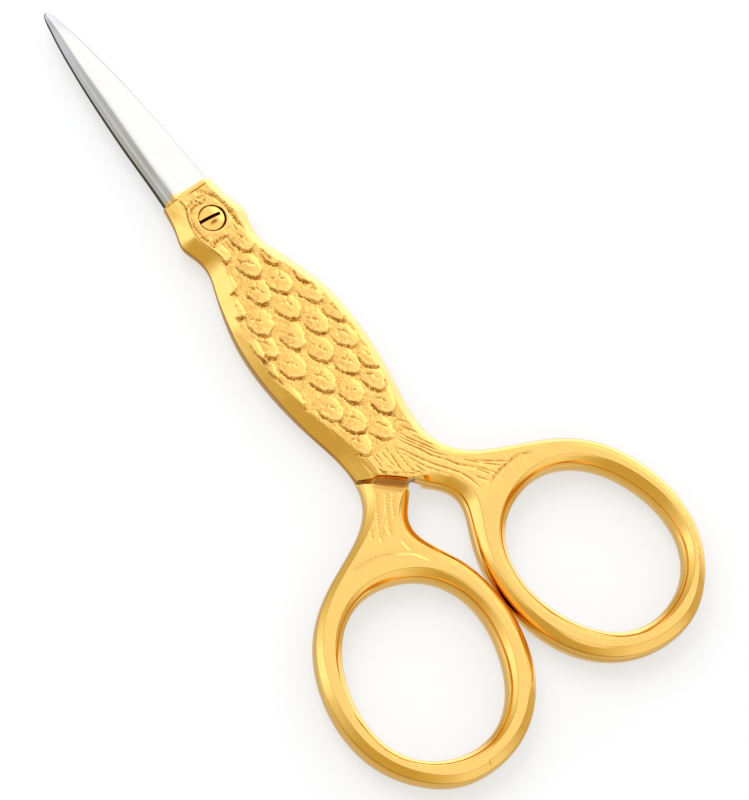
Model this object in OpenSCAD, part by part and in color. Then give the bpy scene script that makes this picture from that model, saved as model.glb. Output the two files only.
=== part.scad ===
// Stork embroidery scissors, closed, lying flat on the rear half.
// Two forged halves cross at one slotted pivot screw. The rear half is the
// front half turned over about the long axis.
// Frame: +Z up from the resting plane, +Y from the finger bows to the blade
// tips, +X towards the front half's finger bow. The origin is below the
// middle of the closed scissors.

/* [Overall] */
// Half thickness of the closed pair, the thickness of one body plate and its share of the gap
half_t = 2.3; // [2.1:0.05:2.6]
// Gap left between the two halves where they slide on each other
shear_gap = 0.06; // [0.02:0.01:0.12]
// Y of the blade tips, measured from the pivot axis
tip_y = 31.75; // [30:0.25:33]

/* [Body and bows] */
// Y of the plating line, where the gilt handle meets the bare blade
plating_y = 4.4; // [4:0.1:4.8]
// Half height of the upright land round the edge of the body and bows
edge_land = 0.6; // [0.4:0.05:0.9]
// How far one half's step stands back from the line drawn for it below
step_gap = 0.1; // [0:0.05:0.4]
// Half length of the finger hole along its long axis
hole_a = 10.5; // [10:0.1:10.8]
// Half width of the finger hole
hole_b = 8.95; // [8.5:0.05:9.1]
// Lean of the finger hole's long axis from the Y axis
hole_lean = 18; // [10:1:24]
// Width of the bevel round the finger hole
hole_bevel = 1.05; // [0.7:0.05:1.2]

/* [Blades] */
// Height of the blade's ridge at the plating line, above the shear plane
ridge_h = 1.7; // [1.4:0.05:1.9]
// Thickness left at the cutting edge
edge_t = 0.1; // [0.08:0.01:0.2]

/* [Pivot] */
// Diameter of the screw head
head_d = 3.1; // [2.8:0.1:3.4]
// Diameter of the screw shank
shank_d = 2.0; // [1.8:0.1:2.2]
// Radial clearance of the shank in the front half
run_clear = 0.05; // [0.03:0.01:0.08]
// Width of the screwdriver slot
slot_w = 0.4; // [0.3:0.05:0.5]

/* [Hidden] */
g = shear_gap / 2;
bow_end_y = -69.85;
mid_y = (tip_y + bow_end_y) / 2;
hole_c = [12.45, -56.2];
gold = [0.93, 0.72, 0.3];
steel = [0.86, 0.87, 0.88];

// Body side, from the plating line down to the waist above the shank:
// half width, Y, bevel width
side = [
    [3.2, 4.4, 1.1], [3.6, 2.3, 1.3], [4.1, 0.9, 1.5], [4.5, -0.6, 1.5],
    [4.1, -2.0, 1.5], [3.7, -3.5, 1.5], [3.8, -5.0, 1.6], [4.5, -7.0, 1.7],
    [5.5, -9.8, 1.7], [6.3, -12.8, 1.7], [6.8, -17.0, 1.7], [6.7, -21.5, 1.7],
    [6.1, -26.3, 1.7], [5.3, -30.6, 1.6], [5.1, -33.6, 1.5]];
// Shank, round the bow and back up its inner side to the crotch
bow = [
    [5.1, -33.6, 1.5], [5.6, -36.0, 1.4], [7.1, -38.1, 1.3], [10.0, -40.0, 1.2],
    [14.3, -41.9, 1.2], [18.1, -44.0, 1.2], [21.2, -47.0, 1.1], [23.3, -50.8, 1.1],
    [24.4, -55.0, 1.1], [24.4, -59.0, 1.1], [23.2, -63.0, 1.1], [20.6, -66.6, 1.1],
    [17.0, -69.1, 1.1], [13.0, bow_end_y, 1.1], [9.3, -69.3, 1.1], [6.0, -67.7, 1.1],
    [3.2, -65.0, 1.1], [1.2, -61.4, 1.1], [0.2, -57.6, 1.1], [0.1, -54.0, 1.1],
    [0.5, -50.5, 1.1], [1.5, -47.5, 1.2], [2.7, -45.0, 1.4], [3.4, -42.8, 1.5],
    [3.0, -41.2, 1.5], [1.9, -39.9, 1.3], [0.9, -38.8, 0.9], [0.4, -38.1, 0.3]];
// End of the body plate, from the crotch up to the outer side
plate_end = [[-0.1, -37.4], [-1.1, -36.5], [-2.2, -35.6], [-3.1, -35.1]];
plate_corner = [-5.1, -34.3];
plate_corner_top = [-3.7, -34.95];
// Step on the underside, where the plate thickens into the shank
step_line = [[6.5, -33.0], [4.0, -36.3], [2.9, -37.4], [0.0, -39.6]];

// Blade: half width, Y, ridge height as a share of ridge_h, ridge distance from the back
blade = [
    [3.2, 4.4, 1.0, 1.15], [3.0, 8, 0.92, 1.15], [2.85, 12, 0.85, 1.2],
    [2.6, 16, 0.77, 1.25], [2.27, 20, 0.68, 1.3], [1.83, 24, 0.58, 1.2],
    [1.22, 28, 0.47, 0.85], [0.8, 30, 0.4, 0.6], [0.42, 31.1, 0.35, 0.33]];

// Catmull-Rom curve through a list of points, n steps a span
function cr(a, b, c, d, t) =
    0.5 * (2 * b + (c - a) * t + (2 * a - 5 * b + 4 * c - d) * t * t
    + (3 * b - a - 3 * c + d) * t * t * t);
function curve(p, n) = concat(
    [for (i = [0:len(p) - 2], k = [0:n - 1])
        cr(p[max(i - 1, 0)], p[i], p[i + 1], p[min(i + 2, len(p) - 1)], k / n)],
    [p[len(p) - 1]]);
function drop_last(p) = [for (i = [0:len(p) - 2]) p[i]];
function unit(v) = v / norm(v);

// Each outline point with its inset partner: [x, y, inset x, inset y].
// The loop runs clockwise seen from above, so the inside is on its right.
function inset(p, first_y) = [for (i = [0:len(p) - 1])
    let (a = p[max(i - 1, 0)], b = p[min(i + 1, len(p) - 1)],
        t = unit([b[0] - a[0], b[1] - a[1]]))
    [p[i][0], p[i][1], p[i][0] + p[i][2] * t[1], min(p[i][1] - p[i][2] * t[0], first_y)]];

right_side = curve(side, 3);
left_side = [for (i = [len(right_side) - 1:-1:0])
    [-right_side[i][0], right_side[i][1], right_side[i][2]]];
outline = concat(
    inset(concat(drop_last(right_side), curve(bow, 3)), plating_y),
    [for (p = plate_end) [p[0], p[1], p[0], p[1]]],
    [concat(plate_corner, plate_corner_top)],
    inset(left_side, plating_y));

// Finger hole, a rounded oval, drawn clockwise
function oval(a, b, n) = [for (i = [0:n - 1])
    let (t = -360 * i / n, c = cos(t), s = sin(t),
        u = a * sign(c) * pow(abs(c), 0.91), v = b * sign(s) * pow(abs(s), 0.91))
    hole_c + [u * sin(hole_lean) + v * cos(hole_lean), -u * cos(hole_lean) + v * sin(hole_lean)]];

// Solid through a stack of equal loops, each [points, z]; loops run clockwise from above
module stack(loops) {
    n = len(loops[0][0]);
    polyhedron(
        points = [for (l = loops, p = l[0]) [p[0], p[1], l[1]]],
        faces = concat(
            [[for (i = [n - 1:-1:0]) i]],
            [[for (i = [0:n - 1]) n * (len(loops) - 1) + i]],
            [for (k = [0:len(loops) - 2], i = [0:n - 1])
                let (j = (i + 1) % n)
                [n * k + j, n * (k + 1) + j, n * (k + 1) + i]],
            [for (k = [0:len(loops) - 2], i = [0:n - 1])
                let (j = (i + 1) % n)
                [n * k + j, n * (k + 1) + i, n * k + i]]),
        convexity = 8);
}

module handle_blank() {
    edge = [for (p = outline) [p[0], p[1]]];
    top = [for (p = outline) [p[2], p[3]]];
    stack([[top, -half_t], [edge, -edge_land], [edge, edge_land], [top, half_t]]);
}

module finger_hole() {
    over = 1;
    wide = hole_bevel * (half_t + over - edge_land) / (half_t - edge_land);
    inner = oval(hole_a, hole_b, 60);
    outer = oval(hole_a + wide, hole_b + wide, 60);
    stack([[outer, -half_t - over], [inner, -edge_land], [inner, edge_land], [outer, half_t + over]]);
}

// Room for the other half's plate, below the shear plane
module other_plate_room() {
    translate([0, 0, -half_t - 1])
        linear_extrude(half_t + 1 + g)
            polygon(concat([[-20, 20], [20, 20], [20, -32.0], [7, -32.0]],
                [for (p = step_line) [p[0] + 0.6 * step_gap, p[1] - 0.8 * step_gap]],
                [[-20, -39.6 - 0.8 * step_gap]]));
}

// The body's shoulder, sloping down from the screw to the blade
module shoulder_cut() {
    translate([-10, 3.0, half_t])
        rotate([-atan2(half_t - ridge_h - 0.05, plating_y - 3.0), 0, 0])
            cube([20, 4, 4]);
}

// The forging's outer form is one faceted shell, taken at its own size
module half_handle() {
    resize([0, 0, 0])
        difference() {
            handle_blank();
            finger_hole();
            other_plate_room();
            shoulder_cut();
        }
}

// Blade section at one station: back, ridge, cutting edge, on the shear plane
function section(b) =
    let (w = b[0], h = g + ridge_h * b[2], r = b[3])
    [[-w, g], [-w, g + 0.25 * (h - g)], [-w + 0.45 * r, g + 0.85 * (h - g)],
     [-w + r, h], [w, g + edge_t], [w, g]];

module half_blade() {
    rows = concat(curve(blade, 2), [[0.1, tip_y, 0.25, 0.1]]);
    m = 6;
    n = len(rows);
    polyhedron(
        points = [for (b = rows) let (s = section(b)) for (p = s) [p[0], b[1], p[1]]],
        faces = concat(
            [[for (i = [0:m - 1]) i]],
            [[for (i = [m - 1:-1:0]) m * (n - 1) + i]],
            [for (k = [0:n - 2], i = [0:m - 1]) let (j = (i + 1) % m)
                [m * k + i, m * (k + 1) + i, m * (k + 1) + j]],
            [for (k = [0:n - 2], i = [0:m - 1]) let (j = (i + 1) % m)
                [m * k + i, m * (k + 1) + j, m * k + j]]),
        convexity = 4);
}

// From the pivot's own frame to the part's frame
module place() {
    translate([0, -mid_y, half_t]) children();
}

module front_handle() {
    color(gold) place() difference() {
        half_handle();
        translate([0, 0, -1])
            cylinder(h = half_t + 2, r = shank_d / 2 + run_clear, $fn = 64);
        translate([0, 0, half_t - 1.1])
            cylinder(h = 2, r = head_d / 2 + 0.12, $fn = 64);
    }
}

module rear_handle() {
    color(gold) place() difference() {
        rotate([0, 180, 0]) half_handle();
        translate([0, 0, -half_t - 1])
            cylinder(h = half_t + 2, r = shank_d / 2 - 0.05, $fn = 64);
    }
}

module front_blade() {
    color(steel) place() half_blade();
}

module rear_blade() {
    color(steel) place() rotate([0, 180, 0]) half_blade();
}

module pivot_screw() {
    color(gold) place() difference() {
        rotate_extrude($fn = 64)
            polygon([[0, -half_t + 0.15], [shank_d / 2 - 0.1, -half_t + 0.15],
                [shank_d / 2, -half_t + 0.25], [shank_d / 2, half_t - 1.06],
                [head_d / 2, half_t - 1.06], [head_d / 2, half_t - 0.22],
                [head_d / 2 - 0.2, half_t - 0.08], [0, half_t - 0.02]]);
        rotate([0, 0, -6]) translate([-head_d, -slot_w / 2, half_t - 0.6])
            cube([2 * head_d, slot_w, 2]);
    }
}

rear_blade();
rear_handle();
front_blade();
front_handle();
pivot_screw();
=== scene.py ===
import bpy
import math
import numpy as np
from mathutils import Matrix, Vector
from mathutils.geometry import delaunay_2d_cdt


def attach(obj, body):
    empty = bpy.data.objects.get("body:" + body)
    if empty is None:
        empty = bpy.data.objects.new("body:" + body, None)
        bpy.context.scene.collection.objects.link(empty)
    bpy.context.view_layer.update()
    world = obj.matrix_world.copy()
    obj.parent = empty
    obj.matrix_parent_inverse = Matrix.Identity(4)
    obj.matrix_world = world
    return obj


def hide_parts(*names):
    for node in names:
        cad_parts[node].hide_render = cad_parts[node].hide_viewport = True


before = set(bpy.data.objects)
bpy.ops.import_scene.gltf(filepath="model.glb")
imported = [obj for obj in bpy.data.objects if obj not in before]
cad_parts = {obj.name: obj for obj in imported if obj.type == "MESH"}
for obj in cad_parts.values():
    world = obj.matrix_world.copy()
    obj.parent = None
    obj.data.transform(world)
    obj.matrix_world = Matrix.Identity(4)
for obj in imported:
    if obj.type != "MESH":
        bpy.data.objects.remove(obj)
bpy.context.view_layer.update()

# ------------------------------------------------------------------ scales
# Scissors frame, in millimetres: origin on the pivot axis at the plane where the
# halves slide, +Y to the tips. Row frame, in metres: +19.05 in Y and +2.3 in Z.
MM = 0.001
MID_Y = -19.05
HT = 2.3
G = 0.03
TIP_Y = 31.75


def to_row(p):
    p = np.asarray(p, float)
    return np.c_[p[:, 0], p[:, 1] - MID_Y, p[:, 2] + HT] * MM


def smooth(a, b, x):
    t = np.clip((np.asarray(x, float) - a) / (b - a), 0, 1)
    return t * t * (3 - 2 * t)


# ------------------------------------------------------------------ curves
def spline(pts, n=24):
    """Natural cubic spline through the points, chord-length parameter, n samples a span."""
    p = np.asarray(pts, float)
    h = np.maximum(np.linalg.norm(np.diff(p[:, :2], axis=0), axis=1), 1e-6)
    m = len(p)
    a = np.zeros((m, m))
    r = np.zeros((m, p.shape[1]))
    a[0, 0] = a[-1, -1] = 1
    for i in range(1, m - 1):
        a[i, i - 1], a[i, i], a[i, i + 1] = h[i - 1], 2 * (h[i - 1] + h[i]), h[i]
        r[i] = 6 * ((p[i + 1] - p[i]) / h[i] - (p[i] - p[i - 1]) / h[i - 1])
    c = np.linalg.solve(a, r)
    out = []
    for i in range(m - 1):
        for k in range(n):
            t = h[i] * k / n
            u = h[i] - t
            out.append((c[i] * u ** 3 + c[i + 1] * t ** 3) / (6 * h[i])
                       + (p[i] / h[i] - c[i] * h[i] / 6) * u + (p[i + 1] / h[i] - c[i + 1] * h[i] / 6) * t)
    out.append(p[-1])
    return np.array(out)


def resample(p, step, closed=False):
    q = np.vstack([p, p[:1]]) if closed else p
    s = np.r_[0, np.cumsum(np.linalg.norm(np.diff(q[:, :2], axis=0), axis=1))]
    n = max(2, int(round(s[-1] / step)))
    t = np.linspace(0, s[-1], n + 1)
    r = np.stack([np.interp(t, s, q[:, k]) for k in range(q.shape[1])], 1)
    return r[:-1] if closed else r


def relax(p, sigma, closed=False):
    """Gaussian smoothing along the samples. The ends of an open chain stay."""
    n = int(3 * sigma) + 1
    k = np.exp(-0.5 * (np.arange(-n, n + 1) / sigma) ** 2)
    k /= k.sum()
    if closed:
        q = np.vstack([p[-n:], p, p[:n]])
    else:
        q = np.vstack([2 * p[0] - p[n:0:-1], p, 2 * p[-1] - p[-2:-n - 2:-1]])
    return np.stack([np.convolve(q[:, j], k, "valid") for j in range(p.shape[1])], 1)


def normals(p, closed=False):
    """Inward normals of a loop that runs clockwise seen from above."""
    if closed:
        t = np.roll(p, -1, 0) - np.roll(p, 1, 0)
    else:
        t = np.gradient(p, axis=0)
    t = t[:, :2] / np.linalg.norm(t[:, :2], axis=1)[:, None]
    return np.c_[t[:, 1], -t[:, 0]]


# ------------------------------------------------------------------ outline
# x or half width, y, bevel width
SIDE = [[3.2, 4.4, 1.15], [3.58, 2.3, 1.3], [3.95, 1.0, 1.45], [4.42, -0.25, 1.5], [4.5, -0.75, 1.5],
        [4.3, -1.4, 1.45], [3.95, -2.4, 1.4], [3.7, -3.6, 1.45], [3.8, -5.0, 1.6], [4.5, -7.0, 1.6],
        [5.5, -9.8, 1.45], [6.3, -12.8, 1.35], [6.8, -17.0, 1.3], [6.7, -21.5, 1.3],
        [6.1, -26.3, 1.35], [5.3, -30.6, 1.4], [5.1, -33.6, 1.4]]
BOW = [[5.6, -36.0, 1.3], [7.1, -38.1, 1.15], [10.0, -40.0, 1.0],
       [14.3, -41.9, 0.95], [18.1, -44.0, 0.95], [21.2, -47.0, 1.0], [23.3, -50.8, 1.05],
       [24.4, -55.0, 1.1], [24.4, -59.0, 1.1], [23.2, -63.0, 1.1], [20.6, -66.6, 1.1],
       [17.0, -69.1, 1.1], [13.0, -69.82, 1.1], [9.3, -69.3, 1.1], [6.0, -67.7, 1.1],
       [3.2, -65.0, 1.1], [1.2, -61.4, 1.1], [0.2, -57.6, 1.1], [0.1, -54.0, 1.1],
       [0.5, -50.5, 1.1], [1.5, -47.5, 1.2], [2.7, -45.0, 1.35], [3.4, -42.8, 1.45],
       [3.0, -41.2, 1.45], [1.9, -39.9, 1.25], [0.9, -38.8, 0.7], [0.4, -38.1, 0.15]]
# End of the plate, from the crotch to the outer corner
END = [[0.4, -38.1], [-0.1, -37.4], [-1.1, -36.5], [-2.2, -35.6], [-3.1, -35.0], [-4.1, -34.72], [-5.1, -34.3]]
# Step on the underside, from the outer side to the crotch
STEP_LINE = [[5.26, -34.75], [4.6, -35.6], [4.0, -36.3], [2.9, -37.45], [1.8, -38.3], [0.95, -38.86]]
# Chamfer width along the spine side of the body
SPINE_B = [[4.4, 1.55], [3.0, 1.5], [1.5, 1.5], [0.2, 1.5], [-1.2, 1.4], [-2.5, 1.25], [-3.8, 1.5], [-5.0, 1.7],
           [-6.5, 1.5], [-8.0, 1.5], [-9.5, 1.2], [-11.6, 0.98], [-14.0, 1.0], [-17.0, 0.98], [-20.0, 1.1],
           [-23.0, 1.15], [-26.0, 1.4], [-28.5, 1.7], [-31.0, 1.85], [-34.5, 2.05]]
HOLE_C = np.array([12.45, -56.2])
STEP = 0.2
RINGS = np.array([0.0, 0.004, 0.02, 0.06, 0.12, 0.2, 0.26, 0.4, 0.58, 0.76, 0.9, 0.965, 1.0, 1.035])
LIP = 12


def side_chain(rows, sigma):
    return relax(resample(spline(rows), 0.05), sigma)


def chain_front():
    p = spline(SIDE + BOW)
    p = resample(p, 0.05)
    body = relax(p, 11)
    bow = relax(p, 16)
    left = (len(p) - 1 - np.arange(len(p))) * 0.05
    w = np.minimum(smooth(-30, -36, p[:, 1]), smooth(0.2, 3.5, left))[:, None]
    q = body * (1 - w) + bow * w
    q = resample(q, STEP)
    q[:, 2] = np.maximum(q[:, 2], 0.02)
    return q


def chain_spine():
    rows = [[-5.1, -34.3, 0]] + [[-a, b, 0] for a, b, c in reversed(SIDE) if b > -33]
    p = relax(resample(spline(rows), 0.05), 11)
    p = resample(p, STEP)
    ys, bs = zip(*sorted(SPINE_B))
    p[:, 2] = relax(np.interp(p[:, 1], ys, bs)[:, None], 3)[:, 0]
    return p


def hole_loop():
    t = np.linspace(0, 2 * math.pi, 4001)[:-1]
    c, s = np.cos(t), np.sin(t)
    u = 10.5 * np.sign(c) * np.abs(c) ** 0.91
    v = 8.95 * np.sign(s) * np.abs(s) ** 0.91
    la = math.radians(18)
    p = np.c_[HOLE_C[0] + u * math.sin(la) + v * math.cos(la), HOLE_C[1] - u * math.cos(la) + v * math.sin(la)]
    p = resample(p, 0.05, closed=True)
    p = relax(p, 18, closed=True)
    return resample(p, 0.2, closed=True)


def planed(x, y, t):
    """Long shallow hollows left along the planed chamfers."""
    n = 0.6 * value_noise(x * 1.6, y * 0.45, 1.0, 401) + 0.4 * value_noise(x * 4.0, y * 0.5, 1.0, 402)
    return 0.19 * n * 4 * np.clip(t * (1 - t), 0, 0.25)


def worn(x, y, t):
    """Gentle unevenness of the hand-polished bevels round the bows."""
    n = 0.8 * value_noise(x, y, 4.6, 431) + 0.2 * value_noise(x, y, 2.4, 432)
    return 0.32 * n * 4 * np.clip(t * (1 - t), 0, 0.25)


def profile(t, beta, hc, z0):
    """Height over the sliding plane at share t of the bevel width. beta 0 is the body's
    planed chamfer over an upright land, beta 1 the bow's chamfer over a rounded wall."""
    t = np.asarray(t, float)
    land = (z0 - G) * np.sqrt(np.clip(1 - (1 - np.minimum(t / 0.06, 1)) ** 2, 0, 1))
    u = np.clip(t - 0.03, 0, 0.97) / 0.97
    flat = G + land + (hc - z0) * (u * (1.08 - 0.08 * u) + 0.9 * np.maximum(t - 1, 0))
    v = np.clip(t - 0.2, 0, 0.8) / 0.8
    z1 = 0.58 * hc
    bow = G + (z1 - G) * np.sqrt(np.clip(t / 0.2, 0, 1)) + (hc - z1) * (v * (1.3 - 0.3 * v) + 0.7 * np.maximum(t - 1, 0))
    return flat * (1 - beta) + bow * beta


# ------------------------------------------------------------------ noise
def hash2(i, j, seed):
    h = (i.astype(np.int64) * 374761393 + j.astype(np.int64) * 668265263 + seed * 1274126177) & 0xFFFFFFFF
    h = ((h ^ (h >> 13)) * 1103515245) & 0xFFFFFFFF
    h = (h ^ (h >> 16)) & 0xFFFFFFFF
    return h / 4294967296.0


def value_noise(x, y, cell, seed):
    gx, gy = x / cell, y / cell
    i, j = np.floor(gx), np.floor(gy)
    fx, fy = gx - i, gy - j
    fx, fy = fx * fx * (3 - 2 * fx), fy * fy * (3 - 2 * fy)
    a, b = hash2(i, j, seed), hash2(i + 1, j, seed)
    c, d = hash2(i, j + 1, seed), hash2(i + 1, j + 1, seed)
    return (a * (1 - fx) + b * fx) * (1 - fy) + (c * (1 - fx) + d * fx) * fy - 0.5


def pits(x, y, cell, seed, r=0.62):
    """Punched ground: 1 in the middle of each punch mark, 0 between them."""
    gx, gy = x / cell, y / cell
    i, j = np.floor(gx), np.floor(gy)
    best = np.full(x.shape, 9.0)
    for a in (-1, 0, 1):
        for b in (-1, 0, 1):
            px = i + a + 0.5 + 0.75 * (hash2(i + a, j + b, seed) - 0.5)
            py = j + b + 0.5 + 0.75 * (hash2(i + a, j + b, seed + 7) - 0.5)
            best = np.minimum(best, (gx - px) ** 2 + (gy - py) ** 2)
    return np.clip(1 - np.sqrt(best) / r, 0, 1)


def to_line(x, y, pts):
    """Distance to a polyline and the share of its length at the nearest point."""
    pts = np.asarray(pts, float)
    seg = np.linalg.norm(np.diff(pts, axis=0), axis=1)
    s0 = np.r_[0, np.cumsum(seg)]
    d = np.full(x.shape, 1e9)
    s = np.zeros(x.shape)
    for k in range(len(seg)):
        ax, ay = pts[k]
        dx, dy = (pts[k + 1] - pts[k]) / seg[k]
        t = np.clip((x - ax) * dx + (y - ay) * dy, 0, seg[k])
        dd = np.hypot(x - ax - t * dx, y - ay - t * dy)
        m = dd < d
        d = np.where(m, dd, d)
        s = np.where(m, (s0[k] + t) / s0[-1], s)
    return d, s


def groove(x, y, pts, width, taper=0.25):
    """1 along the middle of an engraved stroke, falling to 0 at its sides and ends."""
    lo, hi = np.min(pts, 0) - width, np.max(pts, 0) + width
    out = np.zeros(x.shape)
    m = (x > lo[0]) & (x < hi[0]) & (y > lo[1]) & (y < hi[1])
    if m.any():
        p = resample(relax(resample(np.array(pts, float), 0.08), 2), 0.12)
        d, s = to_line(x[m], y[m], p)
        w = width * (0.35 + 0.65 * np.minimum(1, np.minimum(s, 1 - s) / taper))
        out[m] = np.clip(1 - d / w, 0, 1)
    return out * out * (3 - 2 * out)


# ------------------------------------------------------------------ relief
# Feather scales of the body: x and y of the tip, half width
SCALES = [(1.5, -5.55, 1.35), (-1.45, -5.3, 0.85), (-3.3, -8.75, 1.15), (0.3, -8.6, 1.35), (3.0, -8.7, 0.95),
          (-4.3, -11.7, 1.05), (-0.95, -11.85, 1.45), (2.1, -12.15, 1.42), (4.75, -12.6, 0.9),
          (-3.0, -14.95, 1.5), (1.0, -15.15, 1.48), (4.4, -15.05, 1.35),
          (-5.35, -17.25, 0.5), (-4.1, -17.5, 1.2), (-1.0, -18.35, 1.5), (2.5, -18.4, 1.5), (5.1, -18.25, 1.05),
          (-5.45, -20.1, 0.45), (-3.0, -21.25, 1.5), (0.9, -21.35, 1.5), (4.3, -21.45, 1.35),
          (-5.1, -24.1, 0.6), (-1.2, -24.4, 1.5), (2.5, -24.25, 1.5), (4.9, -25.0, 0.95),
          (-2.6, -27.65, 1.45), (0.7, -27.35, 1.5), (3.7, -27.45, 1.4),
          (-1.2, -30.25, 1.45), (2.9, -30.35, 1.45),
          (-2.4, -32.75, 1.3), (0.95, -32.75, 1.4)]
# Long feather grooves of the tail: points, width, depth
TAIL = [([(2.6, -32.1), (3.0, -32.8), (3.7, -34.0)], 0.16, 0.12),
        ([(2.0, -32.8), (2.3, -33.7), (3.0, -34.8), (3.6, -35.8), (4.2, -36.8)], 0.17, 0.13),
        ([(1.2, -33.2), (1.8, -34.2), (2.7, -35.7), (3.3, -37), (4.4, -38.3), (5.2, -39.5), (6.2, -40.5),
          (7.2, -41.5), (8.1, -42.7)], 0.17, 0.14),
        ([(0.4, -33.9), (0.9, -34.4), (1.5, -35.6), (2.2, -36.8), (3, -38.1), (4.2, -39.6), (4.9, -40.7),
          (5.3, -41.7), (5.5, -43), (5.55, -44)], 0.17, 0.15),
        ([(7, -40.2), (8, -41), (9.2, -41.8), (10.1, -42.5)], 0.17, 0.11),
        ([(5.9, -41.7), (6.4, -42.4), (6.9, -43.1)], 0.15, 0.10),
        ([(2.2, -31.4), (2.8, -31.3), (3.6, -32.3)], 0.14, 0.09),
        ([(1, -36.7), (1.2, -37.3), (1.5, -38)], 0.14, 0.13),
        ([(0.3, -36.9), (0.7, -37.6), (1.1, -37.8)], 0.14, 0.12),
        ([(-2.7, -34.8), (-2.5, -35.3), (-2.2, -35.7)], 0.16, 0.14),
        ([(-1.7, -35.1), (-1.5, -35.4), (-1.45, -35.9)], 0.14, 0.12),
        ([(-3.1, -33), (-3.05, -34.9)], 0.13, 0.12),
        ([(1.6, -33.0), (2.1, -34.0), (3.0, -35.5), (3.8, -36.9), (4.9, -38.2)], 0.15, 0.07),
        ([(2.9, -33.6), (3.4, -34.7), (4.0, -35.7), (4.8, -37.0), (5.9, -38.4), (7.2, -39.4)], 0.15, 0.08),
        ([(0.7, -34.9), (1.3, -36.4), (2.0, -37.8), (3.2, -39.4), (4.2, -41.0)], 0.15, 0.09),
        ([(4.6, -38.9), (5.6, -40.1), (6.6, -41.2), (7.4, -42.4)], 0.15, 0.07),
        ([(6.0, -39.4), (7.4, -40.9), (8.6, -41.9), (9.3, -42.6)], 0.14, 0.07),
        ([(-1.2, -33.4), (-1.15, -34.6), (-1.0, -35.6)], 0.14, 0.08),
        ([(-1.9, -33.2), (-1.85, -34.4)], 0.14, 0.08)]
# Punched rows: points, width
PUNCHED = [([(-0.55, -32.9), (-0.5, -34.5), (-0.65, -36.2), (-0.55, -36.7)], 0.2),
           ([(0.3, -34), (0.3, -36.5), (0.5, -37.3)], 0.17),
           ([(-2.3, -33.1), (-2.3, -34.9)], 0.18),
           ([(4.7, -44.7), (5.7, -44.2), (6.6, -43.5), (8, -42.9), (10, -42.6), (11.2, -42.5), (13.2, -43.2)], 0.3),
           ([(-2.6, -35.35), (-1.6, -36.1), (-0.9, -36.6), (-0.2, -37.15), (0.5, -37.7), (1.2, -38.1)], 0.2)]
HEAD_PUNCHED = [([(1.2, 2.9), (1.5, 2.5), (1.9, 2.0), (2.05, 1.5), (2.1, 1.0), (2.15, 0.5), (2.2, 0), (2.3, -0.5),
                  (2.3, -1), (2.2, -1.5), (2.1, -2.1), (2.4, -2.6), (2.5, -3.0)], 0.34),
                ([(-2.0, 2.2), (-2.15, 1.4), (-2.3, 0.4), (-2.35, -0.6), (-2.25, -1.6), (-1.95, -2.5)], 0.3),
                ([(-1.9, 2.6), (-1.2, 2.6), (-0.8, 2.9), (0.3, 2.9), (1.0, 2.7)], 0.32),
                ([(-1.7, 1.6), (-1.5, 2.1), (-0.6, 2.3), (0.3, 2.1), (0.8, 2.4)], 0.3),
                ([(-2.1, -3.0), (-1.5, -2.5), (-0.6, -2.5), (0.1, -2.7)], 0.32),
                ([(0.0, -2.8), (0.05, -3.6), (0.2, -4.4)], 0.2),
                ([(2.4, -6.0), (2.4, -7.0), (2.6, -7.8)], 0.35),
                ([(-0.6, -5.6), (-0.5, -6.3)], 0.3)]
HEAD_GROOVES = [([(1.6, -2.0), (1.4, -2.9)], 0.13, 0.08), ([(-0.5, -3.3), (-0.45, -4.0), (-0.35, -4.7)], 0.14, 0.09),
                ([(-1.3, 3.4), (-1.15, 3.25), (-1.0, 3.2)], 0.16, 0.13),
                ([(-0.15, 2.45), (0.0, 2.2), (0.12, 2.0)], 0.15, 0.11),
                ([(-2.35, 1.6), (-2.55, 0.6), (-2.65, -0.4), (-2.6, -1.4), (-2.4, -2.2)], 0.15, 0.10),
                ([(-0.5, 3.86), (0.4, 3.83), (1.3, 3.86), (2.3, 3.9)], 0.12, 0.10),
                ([(-1.9, 4.25), (-1.85, 3.6), (-1.75, 2.9)], 0.13, 0.12)]
# Crossed rows of the head: points, width, pitch, depth
ROPES = [([(0.2, 3.45), (0.85, 3.4), (1.3, 2.95), (1.82, 2.25), (2.15, 1.5), (2.3, 0.6), (2.28, -0.4), (2.16, -1.5), (2.3, -2.6),
           (2.34, -3.6)], 0.40, 0.30, 0.08),
         ([(-2.0, 2.0), (-2.35, 1.2), (-2.5, 0.3), (-2.5, -0.9), (-2.3, -2.2), (-1.97, -3.2)], 0.28, 0.36, 0.09),
         ([(-1.9, -2.5), (-1.4, -2.55), (-0.7, -2.75), (-0.1, -2.65), (0.5, -2.9)], 0.3, 0.33, 0.10)]
# Raised (+) and sunk (-) cords along the left of the head: points, width, height, darkness (painted shade in the sunk
# cord)
LEFT_LINE = [(-1.89, 4.0), (-1.8, 3.2), (-1.85, 2.5), (-2.4, 1.4), (-2.85, 0.0), (-2.85, -1.6), (-2.45, -3.0), (-2.15, -4.3), (-2.07, -5.2)]
CORDS = [([(a + 0.02, b) for a, b in LEFT_LINE], 0.17, -0.13, 0.42),
         ([(a + 0.24, b + 0.02) for a, b in LEFT_LINE[1:]], 0.14, 0.07, 0.0),
         ([(a - 0.2, b) for a, b in LEFT_LINE[2:]], 0.13, 0.05, 0.0)]
# Deep nicks along the edge of the relief, beside the spine chamfer
NICKS = [(-1.8, 2.5, 0.22), (-2.1, -5.4, 0.3), (-3.5, -8.6, 0.32), (-4.0, -8.7, 0.25), (-4.6, -11.5, 0.35),
         (-5.15, -11.75, 0.2), (-5.5, -17.25, 0.28), (-5.0, -17.3, 0.24), (-5.9, -20.6, 0.2), (-5.1, -24.0, 0.3),
         (-4.7, -26.2, 0.22), (-3.3, -32.4, 0.2)]


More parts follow.
